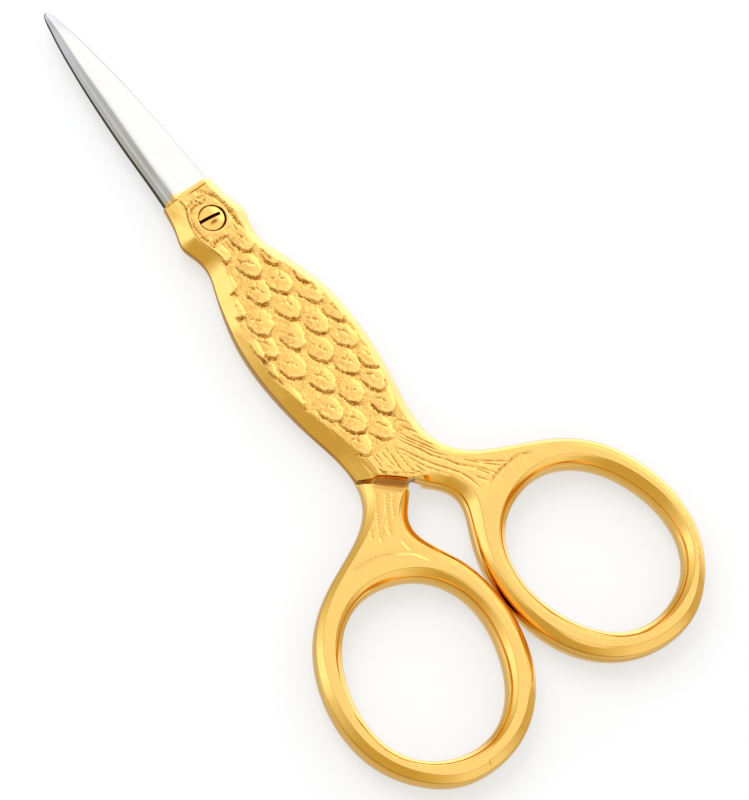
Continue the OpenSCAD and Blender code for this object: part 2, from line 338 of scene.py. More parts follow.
def scale_shape(x, y, xt, yt, w, k):
    """Share of the way out from a scale's axis (1 at its edge) and height up from its tip."""
    r1, r2, r3 = [float(hash2(np.array(k), np.array(q), 63)) for q in (1, 2, 3)]
    v = y - yt
    lean = 0.10 + 0.24 * (r1 - 0.5)
    a = (1.95 if w > 1.0 else 1.5) + 0.4 * (r2 - 0.5)
    ww = w * (0.90 + 0.10 * (r3 - 0.5) - 0.05 * np.maximum(v - a, 0))
    ux = (x - xt + lean * v) / ww
    uy = np.maximum(a - v, 0) / a
    rho = (np.abs(ux) ** 1.95 + uy ** 1.95) ** (1 / 1.95)
    wave = 0.09 * value_noise(x, y, 0.55, 300 + k) + 0.06 * value_noise(x, y, 0.26, 340 + k)
    return rho + wave / w * 2, ux, v


def rope(x, y, pts, width, pitch, seed):
    """A punched row: 1 in its marks, which cross the line at a steady pitch, and the row itself."""
    p = resample(relax(resample(np.array(pts, float), 0.08), 2), 0.12)
    near = (np.abs(x - p[:, 0].mean()) < np.ptp(p[:, 0]) / 2 + 1.2) & (np.abs(y - p[:, 1].mean()) < np.ptp(p[:, 1]) / 2 + 1.2)
    mark, row = np.zeros(x.shape), np.zeros(x.shape)
    if near.any():
        xs, ys = x[near], y[near]
        d, t = to_line(xs, ys, p)
        run = t * np.linalg.norm(np.diff(p, axis=0), axis=1).sum()
        run = run + 0.22 * value_noise(xs, ys, 0.5, seed)
        w = width * (0.75 + 0.5 * (value_noise(xs, ys, 0.5, seed + 1) + 0.5))
        row[near] = smooth(1.0, 0.45, d / w) * smooth(0, 0.06, t) * smooth(1, 0.94, t)
        core = smooth(0.85, 0.3, d / w + 0.5 * value_noise(xs, ys, 0.3, seed + 2))
        mark[near] = row[near] * core * smooth(0.3, 0.9, 0.5 + 0.5 * np.sin(2 * math.pi * run / pitch))
    return mark, row


def relief(x, y):
    """Height of the carved top, how deep in the punched ground each point is, and how dark: the darkness is painted
    shade in the punch marks, grooves, folds, nicks and hollows.
    """
    z = HT - 0.21 + 0.07 * value_noise(x, y, 0.75, 15) + 0.07 * value_noise(x, y, 0.36, 16)
    pit = 0.65 * pits(x, y, 0.31, 5) + 0.35 * pits(x, y, 0.2, 9)
    dots = smooth(0.25, 0.6, pits(x, y, 0.24, 33))
    ground = np.full(x.shape, 0.8)
    # painted shade: dark specks standing for the shade in the stipple's punch marks
    dark = 0.22 * dots * smooth(0.35, 0.75, value_noise(x, y, 0.6, 18) + 0.5)
    for k, (xt, yt, w) in sorted(enumerate(SCALES), key=lambda e: e[1][1]):
        near = (np.abs(x - xt) < w + 1.2) & (y > yt - 1.2) & (y < yt + 4.2)
        if not near.any():
            continue
        xs, ys = x[near], y[near]
        r = [float(hash2(np.array(k), np.array(q), 21)) for q in range(6)]
        rho, ux, v = scale_shape(xs, ys, xt, yt, w, k)
        dist = (1 - rho) * w
        gate = value_noise(xs, ys, 0.5, 71) + 0.5
        fine = value_noise(xs, ys, 0.22, 72) + 0.5
        # stippled hollow along the lower left of the scale, with painted shade: a dark line on its lower-left edge and
        # dark stipple in the hollow
        side = smooth(0.35, -0.25, ux) * smooth(2.7, 1.9, v)
        hol = smooth(-0.46 - 0.2 * gate, -0.16, dist) * side * (dist < 0.1)
        edge = smooth(-0.20, -0.07, dist) * smooth(0.06, -0.02, dist) * smooth(2.9, 2.2, v)
        tick = smooth(0.2, 0.9, 0.5 + 0.5 * np.sin(np.arctan2(v - 1.5, ux * w) * w * 22 + 9 * r[0] + 5 * gate))
        mark = np.maximum(tick * smooth(0.3, 0.6, fine), dots[near])
        zz = z[near] - 0.07 * hol - 0.10 * edge * (0.2 + 0.8 * side) - 0.08 * mark * hol
        gg = np.maximum(ground[near], hol)
        dk = dark[near] * (1 - 0.3 * hol)
        dk = np.maximum(dk, edge * (0.05 + 0.55 * side) * smooth(0.0, 0.6, gate) * (0.55 + 0.45 * fine))
        dk = np.maximum(dk, 0.46 * hol * mark * smooth(0.15, 0.5, gate))
        # smooth pad along the right and the tip, melting into the ground at the upper left
        pad = np.maximum(smooth(-0.45, 0.2, ux + 0.5 * (gate - 0.5)), smooth(1.3, 0.7, v + 0.6 * (fine - 0.5)))
        rough = (1 - pad) * (w > 0.9)
        h = HT - 0.015 - 0.05 * np.maximum(v, 0) - 0.07 * np.minimum(rho, 1.1) ** 3 \
            + 0.04 * value_noise(xs, ys, 1.0, 40 + k) + 0.022 * value_noise(xs, ys, 0.5, 140 + k) - 0.055 * rough \
            + (0.006 + 0.11 * rough) * value_noise(xs, ys, 0.36, 80 + k) + 0.05 * rough * value_noise(xs, ys, 0.2, 90 + k)
        fold = np.zeros(xs.shape)
        if w > 0.9:
            a0 = (xt - (0.42 + 0.25 * r[1]) * w, yt + 2.5 + 0.4 * r[2])
            a1 = (xt - 0.08 * w + 0.2 * (r[3] - 0.5), yt + 1.9 + 0.3 * r[4])
            a2 = (xt + 0.12 * w + 0.3 * (r[5] - 0.5), yt + 1.15 + 0.4 * r[1])
            a3 = (a1[0] + 0.45, a1[1] + 0.75 * r[3] + 0.2)
            fold = groove(xs, ys, [a0, a1, a2], 0.34, 0.3) * smooth(0.1, 0.6, fine)
            fold2 = groove(xs, ys, [a3, a1], 0.26, 0.3) * smooth(0.2, 0.6, gate)
            h = h - 0.11 * fold - 0.08 * fold2 \
                + 0.045 * groove(xs + 0.24, ys + 0.2, [a0, a1, a2], 0.24, 0.3)
            fold = np.maximum(fold, 0.7 * fold2)
        root = smooth(3.3 + 0.4 * r[0] - 0.5 * rough, 2.3, v)
        m = smooth(-0.03 - 0.12 * (1 - side), 0.07 + 0.12 * (1 - side), dist) * root
        zz = zz * (1 - m) + h * m
        gg = gg * (1 - m) + 0.6 * rough * m
        # painted shade in the fold grooves and dark specks in the rough upper left of the scale
        dk = dk * (1 - m) + (0.36 * fold * smooth(0.3, 0.7, fine) + 0.25 * rough * dots[near] * smooth(0.4, 0.8, gate)) * m
        z[near], ground[near], dark[near] = zz, gg, dk
    # the head, above the first scales
    head = smooth(-3.6, -2.9, y)
    zh = HT - 0.13 + 0.05 * value_noise(x, y, 0.8, 3) + 0.05 * value_noise(x, y, 0.38, 4)
    gh = np.full(x.shape, 0.45)
    collar = smooth(2.2, 1.95, np.hypot(x, y)) * smooth(0.6, -0.4, y - 0.3 * x)
    zh = zh + 0.06 * collar
    gh = gh * (1 - collar)
    z = z * (1 - head) + zh * head
    ground = ground * (1 - head) + gh * head
    # painted shade: dark specks of the stipple on the head, none on the collar
    dark = dark * (1 - head) + head * 0.18 * dots * smooth(0.5, 0.8, value_noise(x, y, 0.5, 19) + 0.5) * (1 - collar)
    # punched rows of the head, with painted shade in their marks
    for pts, w in HEAD_PUNCHED:
        g1 = groove(x, y, pts, w, 0.12)
        ground = np.maximum(ground, g1)
        dark = np.maximum(dark, 0.45 * g1 * np.maximum(dots, smooth(0.45, 0.8, value_noise(x, y, 0.28, 55) + 0.5)))
        z = z - 0.08 * g1
    # smooth pads: right of the screw, the shoulder, ring
    pad = smooth(0.6, 0.25, np.hypot(x - 1.3, (y - 1.7) * 0.8)) * head
    z = z + 0.05 * pad
    ground = ground * (1 - pad)
    ring = np.abs(np.hypot(x + 0.32, y - 2.65) - 0.27)
    z = z + 0.09 * smooth(0.16, 0.03, ring) - 0.08 * smooth(0.2, 0.05, np.hypot(x + 0.32, y - 2.65))
    # painted shade in the pit inside the small ring
    dark = np.maximum(dark * (1 - smooth(0.16, 0.03, ring)), 0.6 * smooth(0.2, 0.08, np.hypot(x + 0.32, y - 2.65)))
    ground = ground * (1 - smooth(0.16, 0.03, ring))
    # engraved grooves of the head, with painted shade along them
    for pts, w, d in HEAD_GROOVES:
        g1 = groove(x, y, pts, w)
        z = z - d * g1
        dark = np.maximum(dark, 0.5 * g1)
    # raised band inside the right chamfer of the head, then its punched rope
    rim = groove(x, y, [(1.9, 3.3), (2.45, 2.3), (2.75, 1.3), (2.87, 0.2), (2.9, -1.0), (2.85, -2.4), (2.8, -3.4)], 0.40, 0.05)
    z = z * (1 - rim) + (HT - 0.02) * rim
    ground = ground * (1 - rim)
    dark = dark * (1 - rim)
    for pts, w, pitch, d in ROPES:
        g1, g2 = rope(x, y, pts, w, pitch, 201)
        z = z - 0.05 * g2 - d * g1
        ground = np.maximum(ground, 0.5 * g2)
        # painted shade in the rope's punch marks
        dark = np.maximum(dark, 0.52 * g1 * (0.4 + 0.6 * smooth(0.2, 0.6, value_noise(x, y, 0.45, 203) + 0.5)))
    for pts, w, d, k in CORDS:
        g1 = groove(x, y, pts, w, 0.08)
        z = z + d * g1
        dark = dark * (1 - g1) if d > 0 else np.maximum(dark, k * g1)
        ground = ground * (1 - g1)
    # shoulder down to the blade
    sh = smooth(3.62, 3.88, y)
    z = z * (1 - sh) + (HT - 0.12) * sh
    ground = ground * (1 - sh)
    # painted shade: a dark line along the foot of the shoulder
    dark = dark * (1 - sh) + 0.62 * groove(x, y, [(-0.7, 3.84), (0.8, 3.8), (2.5, 3.86)], 0.15, 0.3)
    z = np.minimum(z, np.where(y > 3.9, HT - 0.13 - (y - 3.9) * 0.30, 9))
    # tail feathers below the scales
    tail = smooth(-32.2, -33.3, y + 0.12 * np.abs(x))
    zt = HT - 0.06 + 0.03 * value_noise(x * 1.0, y * 0.4, 0.9, 17) + 0.012 * value_noise(x, y, 0.4, 19)
    z = z * (1 - tail) + zt * tail
    ground = ground * (1 - tail) + 0.42 * tail
    dark = dark * (1 - tail)
    for pts, w, d in TAIL:
        g1 = groove(x, y, pts, w, 0.2)
        z = z - d * g1
        # painted shade along the tail grooves
        dark = np.maximum(dark, 0.55 * g1 ** 1.5 * smooth(0.0, 0.5, value_noise(x, y, 0.5, 58) + 0.5))
    for pts, w in PUNCHED:
        g1 = groove(x, y, pts, w, 0.1)
        ground = np.maximum(ground, g1 * 0.9)
        # painted shade in the punched marks
        dark = np.maximum(dark, 0.45 * g1 * np.maximum(dots, smooth(0.45, 0.75, value_noise(x, y, 0.24, 57) + 0.5)))
        z = z - 0.04 * g1
    for nx, ny, r in NICKS:
        g1 = smooth(r, r * 0.25, np.hypot(x - nx, (y - ny) * 1.2))
        z = z - 0.12 * g1
        # painted shade in the nicks
        dark = np.maximum(dark, 0.3 * g1)
    z = z - 0.11 * ground * pit
    z = z + 0.03 * value_noise(x, y, 2.3, 31)
    return np.minimum(z, HT), ground, dark


def top_front(x, y):
    """Top of the front half: carved body and tail, plain polished bow."""
    z, ground, dark = relief(x, y)
    bow = smooth(-43.0, -45.2, y + 0.10 * np.abs(x - 9.5) * (x > 9.5) - 0.32 * np.maximum(9.5 - x, 0)
                 + 0.0 * x)
    far = smooth(12.2, 14.0, x)
    bow = np.maximum(bow, far)
    r = np.hypot(x - HOLE_C[0], (y - HOLE_C[1]) * 0.92)
    zb = HT - 0.035
    z = z * (1 - bow) + zb * bow
    ground = ground * (1 - bow)
    return z, ground, dark * (1 - bow)


UNDER_GROOVES = [([(-6, -39.5), (-7.0, -40.7), (-8, -42)], 0.2, 0.05), ([(-5.6, -39.4), (-6.2, -40.2), (-6.4, -41.6)], 0.16, 0.04),
                 ([(-7.2, -40.2), (-7.8, -41.0), (-8.6, -41.8)], 0.16, 0.04),
                 ([(-5.8, -42.8), (-5.75, -43.7), (-5.6, -44.6)], 0.16, 0.09),
                 ([(-7.3, -43.9), (-6.2, -44.5), (-5.5, -45), (-5.0, -45.8), (-4.5, -46.6)], 0.17, 0.11)]
UNDER_STROKES = [([(-5.9, -35.9), (-7.0, -37.1), (-8.2, -38.5), (-9.6, -40.0)], 0.2), ([(-5.2, -36.1), (-6.3, -37.7), (-7.4, -39.3), (-8.6, -41.1)], 0.24),
                 ([(-4.5, -36.7), (-5.7, -38.3), (-6.8, -40.0), (-7.8, -41.8)], 0.24), ([(-3.6, -37.3), (-4.8, -38.9), (-5.7, -40.4), (-6.5, -42.0)], 0.24),
                 ([(-2.9, -37.8), (-3.9, -39.0), (-4.9, -40.4)], 0.2)]
UNDER_PUNCHED = [([(-12.8, -42.7), (-11, -42.7), (-9.5, -42.9), (-8.2, -43.4), (-7.3, -43.9)], 0.28)]


def top_under(x, y):
    """Outer face of the neck and bow on the other side, in the same x (not mirrored)."""
    z = HT - 0.035 + 0.02 * value_noise(x, y, 1.7, 61) * smooth(-47, -42, y)
    ground = np.zeros(x.shape)
    for pts, w, d in UNDER_GROOVES:
        z = z - d * groove(x, y, [(-a, b) for a, b in pts], w)
    for pts, w in UNDER_PUNCHED:
        g1 = groove(x, y, [(-a, b) for a, b in pts], w, 0.1)
        ground = np.maximum(ground, g1)
        z = z - 0.03 * g1
    # painted shade in the punched strokes' marks and in the pits of the punched ground
    mark_shade = np.zeros(x.shape)
    for pts, w in UNDER_STROKES:
        g1, g2 = rope(x, y, [(-a, b) for a, b in pts], w, 0.42, 511)
        z = z - 0.06 * g1 - 0.03 * g2
        ground = np.maximum(ground, 0.7 * g2)
        mark_shade = np.maximum(mark_shade, 0.22 * g1)
    pit = pits(x, y, 0.26, 77)
    soft = 0.25 * smooth(-38.6, -37.6, y)
    z = z - 0.06 * ground * pit - 0.02 * soft * pit
    return np.minimum(z, HT), np.maximum(ground, soft), np.maximum(mark_shade, 0.35 * ground * pit)


# ------------------------------------------------------------------ mesh building
class Shell:
    """Collects the vertices and faces of one closed surface."""

    def __init__(self):
        self.co, self.rel, self.gnd, self.dark, self.faces, self.sharp, self.n = [], [], [], [], [], [], 0

    def add(self, xyz, rel=0.0, gnd=0.0, dark=0.0):
        xyz = np.asarray(xyz, float)
        k = len(xyz)
        self.co.append(xyz)
        self.rel.append(np.broadcast_to(np.asarray(rel, float), (k,)).copy())
        self.gnd.append(np.broadcast_to(np.asarray(gnd, float), (k,)).copy())
        self.dark.append(np.broadcast_to(np.asarray(dark, float), (k,)).copy())
        ids = np.arange(self.n, self.n + k)
        self.n += k
        return ids

    def grid(self, ids, closed=False, flip=False):
        """Quads over a (stations, rings) array of vertex numbers."""
        a = np.vstack([ids, ids[:1]]) if closed else ids
        q = np.stack([a[:-1, :-1], a[:-1, 1:], a[1:, 1:], a[1:, :-1]], -1).reshape(-1, 4)
        if flip:
            q = q[:, ::-1]
        self.faces.extend(q.tolist())

    def strip(self, top, bottom, flip=False):
        self.grid(np.stack([np.asarray(top), np.asarray(bottom)], 1), flip=flip)

    def crease(self, ids, closed=False):
        ids = np.asarray(ids)
        b = np.roll(ids, -1) if closed else ids[1:]
        a = ids if closed else ids[:-1]
        self.sharp.append(np.stack([a, b], 1))

    def fill(self, loops, inner_xy, zfun, flip=False):
        """Triangulates between loops of existing vertices: [(ids, xy), ...], with inner points."""
        bxy = np.vstack([l[1] for l in loops])
        bid = np.concatenate([l[0] for l in loops])
        edges, k = [], 0
        for ids, xy in loops:
            m = len(ids)
            edges += [(k + i, k + (i + 1) % m) for i in range(m)]
            k += m
        if len(inner_xy):
            z, rel, gnd, dark = zfun(inner_xy[:, 0], inner_xy[:, 1])
            new = self.add(np.c_[inner_xy, z], rel, gnd, dark)
            allxy, allid = np.vstack([bxy, inner_xy]), np.concatenate([bid, new])
        else:
            allxy, allid = bxy, bid
        out = delaunay_2d_cdt([Vector(p) for p in allxy], edges, [], 0, 1e-7)
        vmap = np.array([allid[o[0]] if o else -1 for o in out[3]])
        first = np.array([o[0] if o else -1 for o in out[3]])
        tri = np.array(out[2])
        loc = first[tri]
        ok = (loc >= 0).all(1)
        tri, loc = tri[ok], loc[ok]
        nb = len(bxy)
        test = (loc < nb).all(1)
        keep = np.ones(len(tri), bool)
        if test.any():
            c = allxy[loc[test]].mean(1)
            inside = np.zeros(len(c), bool)
            for ids, xy in loops:
                p, q = xy, np.roll(xy, -1, 0)
                for s in range(0, len(c), 400):
                    cx, cy = c[s:s + 400, 0][:, None], c[s:s + 400, 1][:, None]
                    cond = (p[None, :, 1] > cy) != (q[None, :, 1] > cy)
                    with np.errstate(divide="ignore", invalid="ignore"):
                        xi = p[None, :, 0] + (cy - p[None, :, 1]) * (q[None, :, 0] - p[None, :, 0]) \
                            / (q[None, :, 1] - p[None, :, 1])
                    inside[s:s + 400] ^= ((cond & (cx < xi)).sum(1) % 2).astype(bool)
            keep[test] = inside
        t = vmap[tri[keep]]
        if flip:
            t = t[:, ::-1]
        self.faces.extend(t.tolist())


def nearest(xy, samples, chunk=3000):
    idx = np.empty(len(xy), int)
    dist = np.empty(len(xy))
    s2 = (samples ** 2).sum(1)
    for k in range(0, len(xy), chunk):
        p = xy[k:k + chunk]
        d = s2[None] - 2 * p @ samples.T
        i = d.argmin(1)
        idx[k:k + chunk] = i
        dist[k:k + chunk] = np.sqrt(np.maximum(((p - samples[i]) ** 2).sum(1), 0))
    return idx, dist


def hexes(x0, x1, y0, y1, h, seed):
    ys = np.arange(y0, y1, h * 0.866)
    xs = np.arange(x0, x1, h)
    x, y = np.meshgrid(xs, ys)
    x = x + (np.arange(len(ys)) % 2)[:, None] * h / 2
    p = np.c_[x.ravel(), y.ravel()]
    rng = np.random.default_rng(seed)
    return p + rng.uniform(-0.06, 0.06, p.shape) * h


def inside(xy, loop):
    r = np.zeros(len(xy), bool)
    p, q = loop, np.roll(loop, -1, 0)
    for a, b in zip(p, q):
        if a[1] == b[1]:
            continue
        c = (a[1] > xy[:, 1]) != (b[1] > xy[:, 1])
        if c.any():
            r[c] ^= xy[c, 0] < a[0] + (xy[c, 1] - a[1]) * (b[0] - a[0]) / (b[1] - a[1])
    return r


def turned(n, first, length, at_end=False):
    """Normals that start (or end) along a given direction and ease into their own."""
    s = np.arange(len(n)) * STEP
    if at_end:
        s = s[::-1]
    w = smooth(0, length, s)[:, None]
    v = np.array(first, float)[None] * (1 - w) + n * w
    return v / np.linalg.norm(v, axis=1)[:, None]


def circle(r, n):
    t = -2 * math.pi * np.arange(n) / n
    return np.c_[r * np.cos(t), r * np.sin(t)]


def half_handle(front):
    A, S, H = chain_front(), chain_spine(), hole_loop()
    Axy, Ab, Sxy, Sb = A[:, :2], A[:, 2], S[:, :2], S[:, 2]
    area = 0.5 * np.sum(H[:, 0] * np.roll(H[:, 1], -1) - np.roll(H[:, 0], -1) * H[:, 1])
    if area < 0:
        H = H[::-1]
    nA, nS, nH = normals(A), normals(S), normals(H, closed=True)
    on_side = np.arange(len(A)) < np.argmin(np.abs(Axy[:, 1] + 44) + 50 * (Axy[:, 0] < 12))
    betaA = np.where(on_side, smooth(-31.5, -37.5, Axy[:, 1]), 1.0)
    hcA = np.where(on_side, 2.13 + 0.135 * smooth(-31, -37, Axy[:, 1]), 2.265)
    wA = Ab * (0.7 + 0.3 * smooth(-31.5, -37.0, Axy[:, 1]))
    wS = Sb * 0.7
    HW = 1.05

    def foot(b, hc):
        return np.maximum(0.45, hc - 1.12 * b)

    def chamfer(xy):
        i, dist = nearest(xy, np.vstack([Axy, Sxy]))
        n = np.vstack([nA, nS])[i]
        p = np.vstack([Axy, Sxy])[i]
        d = ((xy - p) * n).sum(1)
        d = np.where((dist > 3) | (i == len(Axy) - 1), dist, np.maximum(d, 0))
        b = np.r_[Ab, Sb][i]
        be = np.r_[betaA, np.zeros(len(S))][i]
        hc = np.r_[hcA, np.full(len(S), 2.13)][i]
        t = d / np.maximum(b, 0.02)
        return profile(t, be, hc, foot(b, hc)) + planed(xy[:, 0], xy[:, 1], t) * (1 - 0.92 * be), d, b

    def zfun(x, y):
        xy = np.c_[x, y]
        t, g, dk = top_front(x, y)
        c, d, b = chamfer(xy)
        _, dh = nearest(xy, H)
        a, e = np.maximum(d - b, 0), np.maximum(dh - HW, 0)
        far = smooth(-43, -46, y)
        t = t + 0.034 * far * 4 * a * e / np.maximum((a + e) ** 2, 1e-6) * (a + e < 6)
        t = np.minimum(t, HT - 0.0005)
        z = np.minimum(t, c)
        m = smooth(-0.02, 0.05, c - t)
        sat = m * smooth(-44.5, -42.5, y + 0.3 * np.maximum(0, 9 - x))
        return z, sat, g * m, dk * m

    sh = Shell()
    M = len(RINGS)

    def band(xy, nrm, true_n, w, b, be, hc, ground_fun, sign=1.0, share=None):
        k = 1 / np.maximum((nrm * true_n).sum(1), 0.3)
        pos = xy[:, None] + nrm[:, None] * (RINGS[None, :, None] * (w * k)[:, None, None])
        t = RINGS[None] * (w / np.maximum(b, 1e-6))[:, None]
        hc = np.asarray(hc)[:, None]
        z = np.minimum(profile(t, np.asarray(be)[:, None], hc, foot(b[:, None], hc)), hc)
        z = z + planed(pos[..., 0], pos[..., 1], t) * (1 - 0.92 * np.asarray(be)[:, None])
        z = np.minimum(z + worn(pos[..., 0], pos[..., 1], t) * np.asarray(be)[:, None], HT - 0.01)
        z[:, 0] = G
        if ground_fun is not None:
            gx, gy = pos[..., 0].ravel(), pos[..., 1].ravel()
            tz = ground_fun(gx, gy)[0].reshape(z.shape)
            z = np.minimum(z, tz)
        if sign < 0:
            z = 2 * G * 0 - z
            z[:, 0] = G
        return pos, z

    # bands on the upper side
    dirA = turned(nA, (-1, 0), 1.4)
    dirS = turned(turned(nS, (0.92, -0.39), 1.8), (1, 0), 1.4, at_end=True)
    pA, zA = band(Axy, dirA, nA, wA, Ab, betaA, hcA, lambda x, y: top_front(x, y))
    pS, zS = band(Sxy, dirS, nS, wS, Sb, np.zeros(len(S)), np.full(len(S), 2.13), lambda x, y: top_front(x, y))
    pH, zH = band(H, nH, nH, np.full(len(H), HW), np.full(len(H), HW), np.ones(len(H)), np.full(len(H), 2.265), None)
    # lip(): painted dark reflection lines along the bevel crests (rings LIP and 5)
    def lip(weight):
        k = np.zeros((len(weight), M))
        k[:, LIP] = 0.44 * weight
        k[:, 5] = 0.30 * weight
        return k

    # base_line(): painted dark reflection along the foot of the band (rings 1 and 2)
    def base_line(weight):
        k = np.zeros((len(weight), M))
        k[:, 1:3] = 0.42 * weight[:, None]
        return k

    idA = sh.add(np.c_[pA.reshape(-1, 2), zA.ravel()],
                 dark=(lip(betaA) + base_line(1 - 0.6 * betaA)).ravel()).reshape(len(A), M)
    idS = sh.add(np.c_[pS.reshape(-1, 2), zS.ravel()], dark=base_line(np.ones(len(S))).ravel()).reshape(len(S), M)
    idH = sh.add(np.c_[pH.reshape(-1, 2), zH.ravel()], dark=lip(np.ones(len(H))).ravel()).reshape(len(H), M)
    sh.grid(idA)
    sh.grid(idS)
    sh.grid(idH, closed=True)
    bowpart = Axy[:, 1] < -37.0
    sh.crease(idA[bowpart, LIP])
    sh.crease(idH[:, LIP], closed=True)

    # free ends of the top: plate end and plating line
    end = resample(relax(resample(np.array(END[:5], float), 0.08), 3), 0.12)[1:]
    end = np.vstack([end, resample(np.array([end[-1], pS[0, -1]]), 0.15)[1:-1]])
    ez, er, eg, ed = zfun(end[:, 0], end[:, 1])
    end_z = ez
    idE = sh.add(np.c_[end, ez], er, eg, ed)
    lineT = np.linspace(pS[-1, -1], pA[0, -1], 34)[1:-1]
    lz, lr, lg, ld = zfun(lineT[:, 0], lineT[:, 1])
    idL = sh.add(np.c_[lineT, lz], lr, lg, ld)
    loop_ids = np.concatenate([idA[:, -1], idE, idS[:, -1], idL])
    loop_xy = np.vstack([pA[:, -1], end, pS[:, -1], lineT])

    # pivot bore
    rb = 1.67 if front else 1.02
    nb = 72
    # shade: painted shade round the bore, darker towards -y, where the gap is also wider; the bore is painted dark
    # lower down
    shade = smooth(-0.55, 0.35, circle(1, nb) @ np.array([0.25, -0.97]))
    rim = circle(1, nb) * ((1.585 + 0.075 * shade) if front else np.full(nb, rb))[:, None]
    cb = rim * (1 + 0.05 / rb)
    cz, cr_, cg, cd = zfun(cb[:, 0], cb[:, 1])
    idB = sh.add(np.c_[cb, cz], cr_, cg, 0.1)
    cols = [idB, sh.add(np.c_[rim, cz - 0.05], dark=0.12 + 0.38 * shade)]
    if front:
        cols.append(sh.add(np.c_[rim, np.full(nb, 1.75)], dark=0.45 + 0.55 * shade))
        cols.append(sh.add(np.c_[rim, np.full(nb, 1.2)], dark=1.0))
        cols.append(sh.add(np.c_[circle(1.05, nb), np.full(nb, 1.2)], dark=1.0))
        rlow = 1.05
    else:
        rlow = rb
    idBl = sh.add(np.c_[circle(rlow, nb), np.full(nb, G)])
    cols.append(idBl)
    bore = np.stack(cols, 1)
    sh.grid(bore, closed=True)
    for c in range(1, bore.shape[1]):
        sh.crease(bore[:, c], closed=True)

    # carved and plain top
    pts = np.vstack([hexes(-7, 7.2, -36.2, 4.4, 0.104, 1),
                     hexes(-4, 13.4, -47.5, -36.28, 0.128, 2),
                     hexes(-1, 25, -70, -47.62, 0.24, 3), hexes(13.5, 25, -47.5, -39, 0.24, 4)])
    hole_xy = pH[:, -1]
    pts = pts[inside(pts, loop_xy)]
    pts = pts[~inside(pts, hole_xy)]
    pts = pts[np.hypot(pts[:, 0], pts[:, 1]) > rb + 0.12]
    bound = np.vstack([loop_xy, hole_xy])
    _, db = nearest(pts, bound)
    pts = pts[db > np.where(pts[:, 1] > -47.5, 0.065, 0.12)]
    sh.fill([(loop_ids, loop_xy), (idH[:, -1], hole_xy), (idB, cb)], pts, zfun)

    # underside of the neck and bow
    sl = np.array(STEP_LINE, float)
    i1 = int(np.argmin(np.hypot(*(Axy - sl[0]).T) + 100 * (Axy[:, 1] < -38)))
    i2 = int(np.argmin(np.hypot(*(Axy - sl[-1]).T) + 100 * (np.arange(len(A)) < len(A) // 2)))
    sl[0], sl[-1] = Axy[i1], Axy[i2]
    seg = slice(i1, i2 + 1)
    d1 = (sl[1] - sl[0]) / np.linalg.norm(sl[1] - sl[0])
    d2 = (sl[-2] - sl[-1]) / np.linalg.norm(sl[-2] - sl[-1])
    dirU = turned(turned(nA[seg], d1, 2.2), d2, 1.2, at_end=True)
    bU = Ab[seg] * (1 - 0.18 * smooth(-34, -36, Axy[seg, 1]) * (np.arange(i2 + 1 - i1) < 250))
    bU = np.maximum(bU, 0.6)
    hU = np.full(len(bU), 2.265)
    pU, zU = band(Axy[seg], dirU, nA[seg], bU, bU, np.ones(len(bU)), hU, None, sign=-1)
    idU = sh.add(np.c_[pU[:, 1:].reshape(-1, 2), zU[:, 1:].ravel()],
                 dark=lip(np.ones(len(bU)))[:, 1:].ravel()).reshape(len(bU), M - 1)
    idU = np.c_[idA[seg, 0], idU]
    sh.grid(idU, flip=True)
    pV, zV = band(H, nH, nH, np.full(len(H), HW), np.full(len(H), HW), np.ones(len(H)), np.full(len(H), 2.265), None, sign=-1)
    idV = sh.add(np.c_[pV[:, 1:].reshape(-1, 2), zV[:, 1:].ravel()],
                 dark=lip(np.ones(len(H)))[:, 1:].ravel()).reshape(len(H), M - 1)
    idV = np.c_[idH[:, 0], idV]
    sh.grid(idV, closed=True, flip=True)
    sh.crease(idU[:, LIP])
    sh.crease(idV[:, LIP], closed=True)

    def ufun(x, y):
        t, g, dk = top_under(x, y)
        i, dist = nearest(np.c_[x, y], Axy[seg])
        d = ((np.c_[x, y] - Axy[seg][i]) * nA[seg][i]).sum(1)
        _, dh = nearest(np.c_[x, y], H)
        a, e = np.maximum(d - bU[i], 0), np.maximum(dh - HW, 0)
        far = smooth(-43, -46, y)
        t = t + 0.034 * far * 4 * a * e / np.maximum((a + e) ** 2, 1e-6) * (a + e < 6)
        sat = 0.6 * smooth(-44.5, -42.5, y + 0.3 * np.maximum(0, 9 - x))
        return -np.minimum(t, HT - 0.0005), sat, g, dk

    step = resample(np.array([pU[0, -1]] + [p for p in sl[1:-1] if np.hypot(*(p - pU[0, -1])) > 0.4
                              and np.hypot(*(p - pU[-1, -1])) > 0.4 and p[0] < pU[0, -1][0] and p[0] > pU[-1, -1][0]]
                             + [pU[-1, -1]]), 0.15)[1:-1]
    sz, sr, sg, sd = ufun(step[:, 0], step[:, 1])
    idSu = sh.add(np.c_[step, sz], sr, sg, sd)
    u_ids = np.concatenate([idU[:, -1], idSu[::-1]])
    u_xy = np.vstack([pU[:, -1], step[::-1]])
    v_xy = pV[:, -1]
    pts = np.vstack([hexes(-4, 13.4, -47.5, -33, 0.16, 5), hexes(-1, 25, -70, -47.62, 0.26, 6),
                     hexes(13.5, 25, -47.5, -39, 0.26, 7)])
    pts = pts[inside(pts, u_xy)]
    pts = pts[~inside(pts, v_xy)]
    _, db = nearest(pts, np.vstack([u_xy, v_xy]))
    pts = pts[db > 0.11]
    sh.fill([(u_ids, u_xy), (idV[:, -1], v_xy)], pts, ufun, flip=True)

    # step wall, from the sliding plane down to the underside
    w_xy = np.vstack([pU[0, 2:], step, pU[-1, :1:-1]])
    w_lo = np.concatenate([idU[0, 2:], idSu, idU[-1, :1:-1]])
    w_hi = sh.add(np.c_[w_xy, np.full(len(w_xy), G)])
    hi = np.concatenate([[idA[i1, 0]], w_hi, [idA[i2, 0]]])
    lo = np.concatenate([[idU[0, 1]], w_lo, [idU[-1, 1]]])
    sh.strip(hi, lo)
    sh.crease(hi)
    sh.crease(lo)

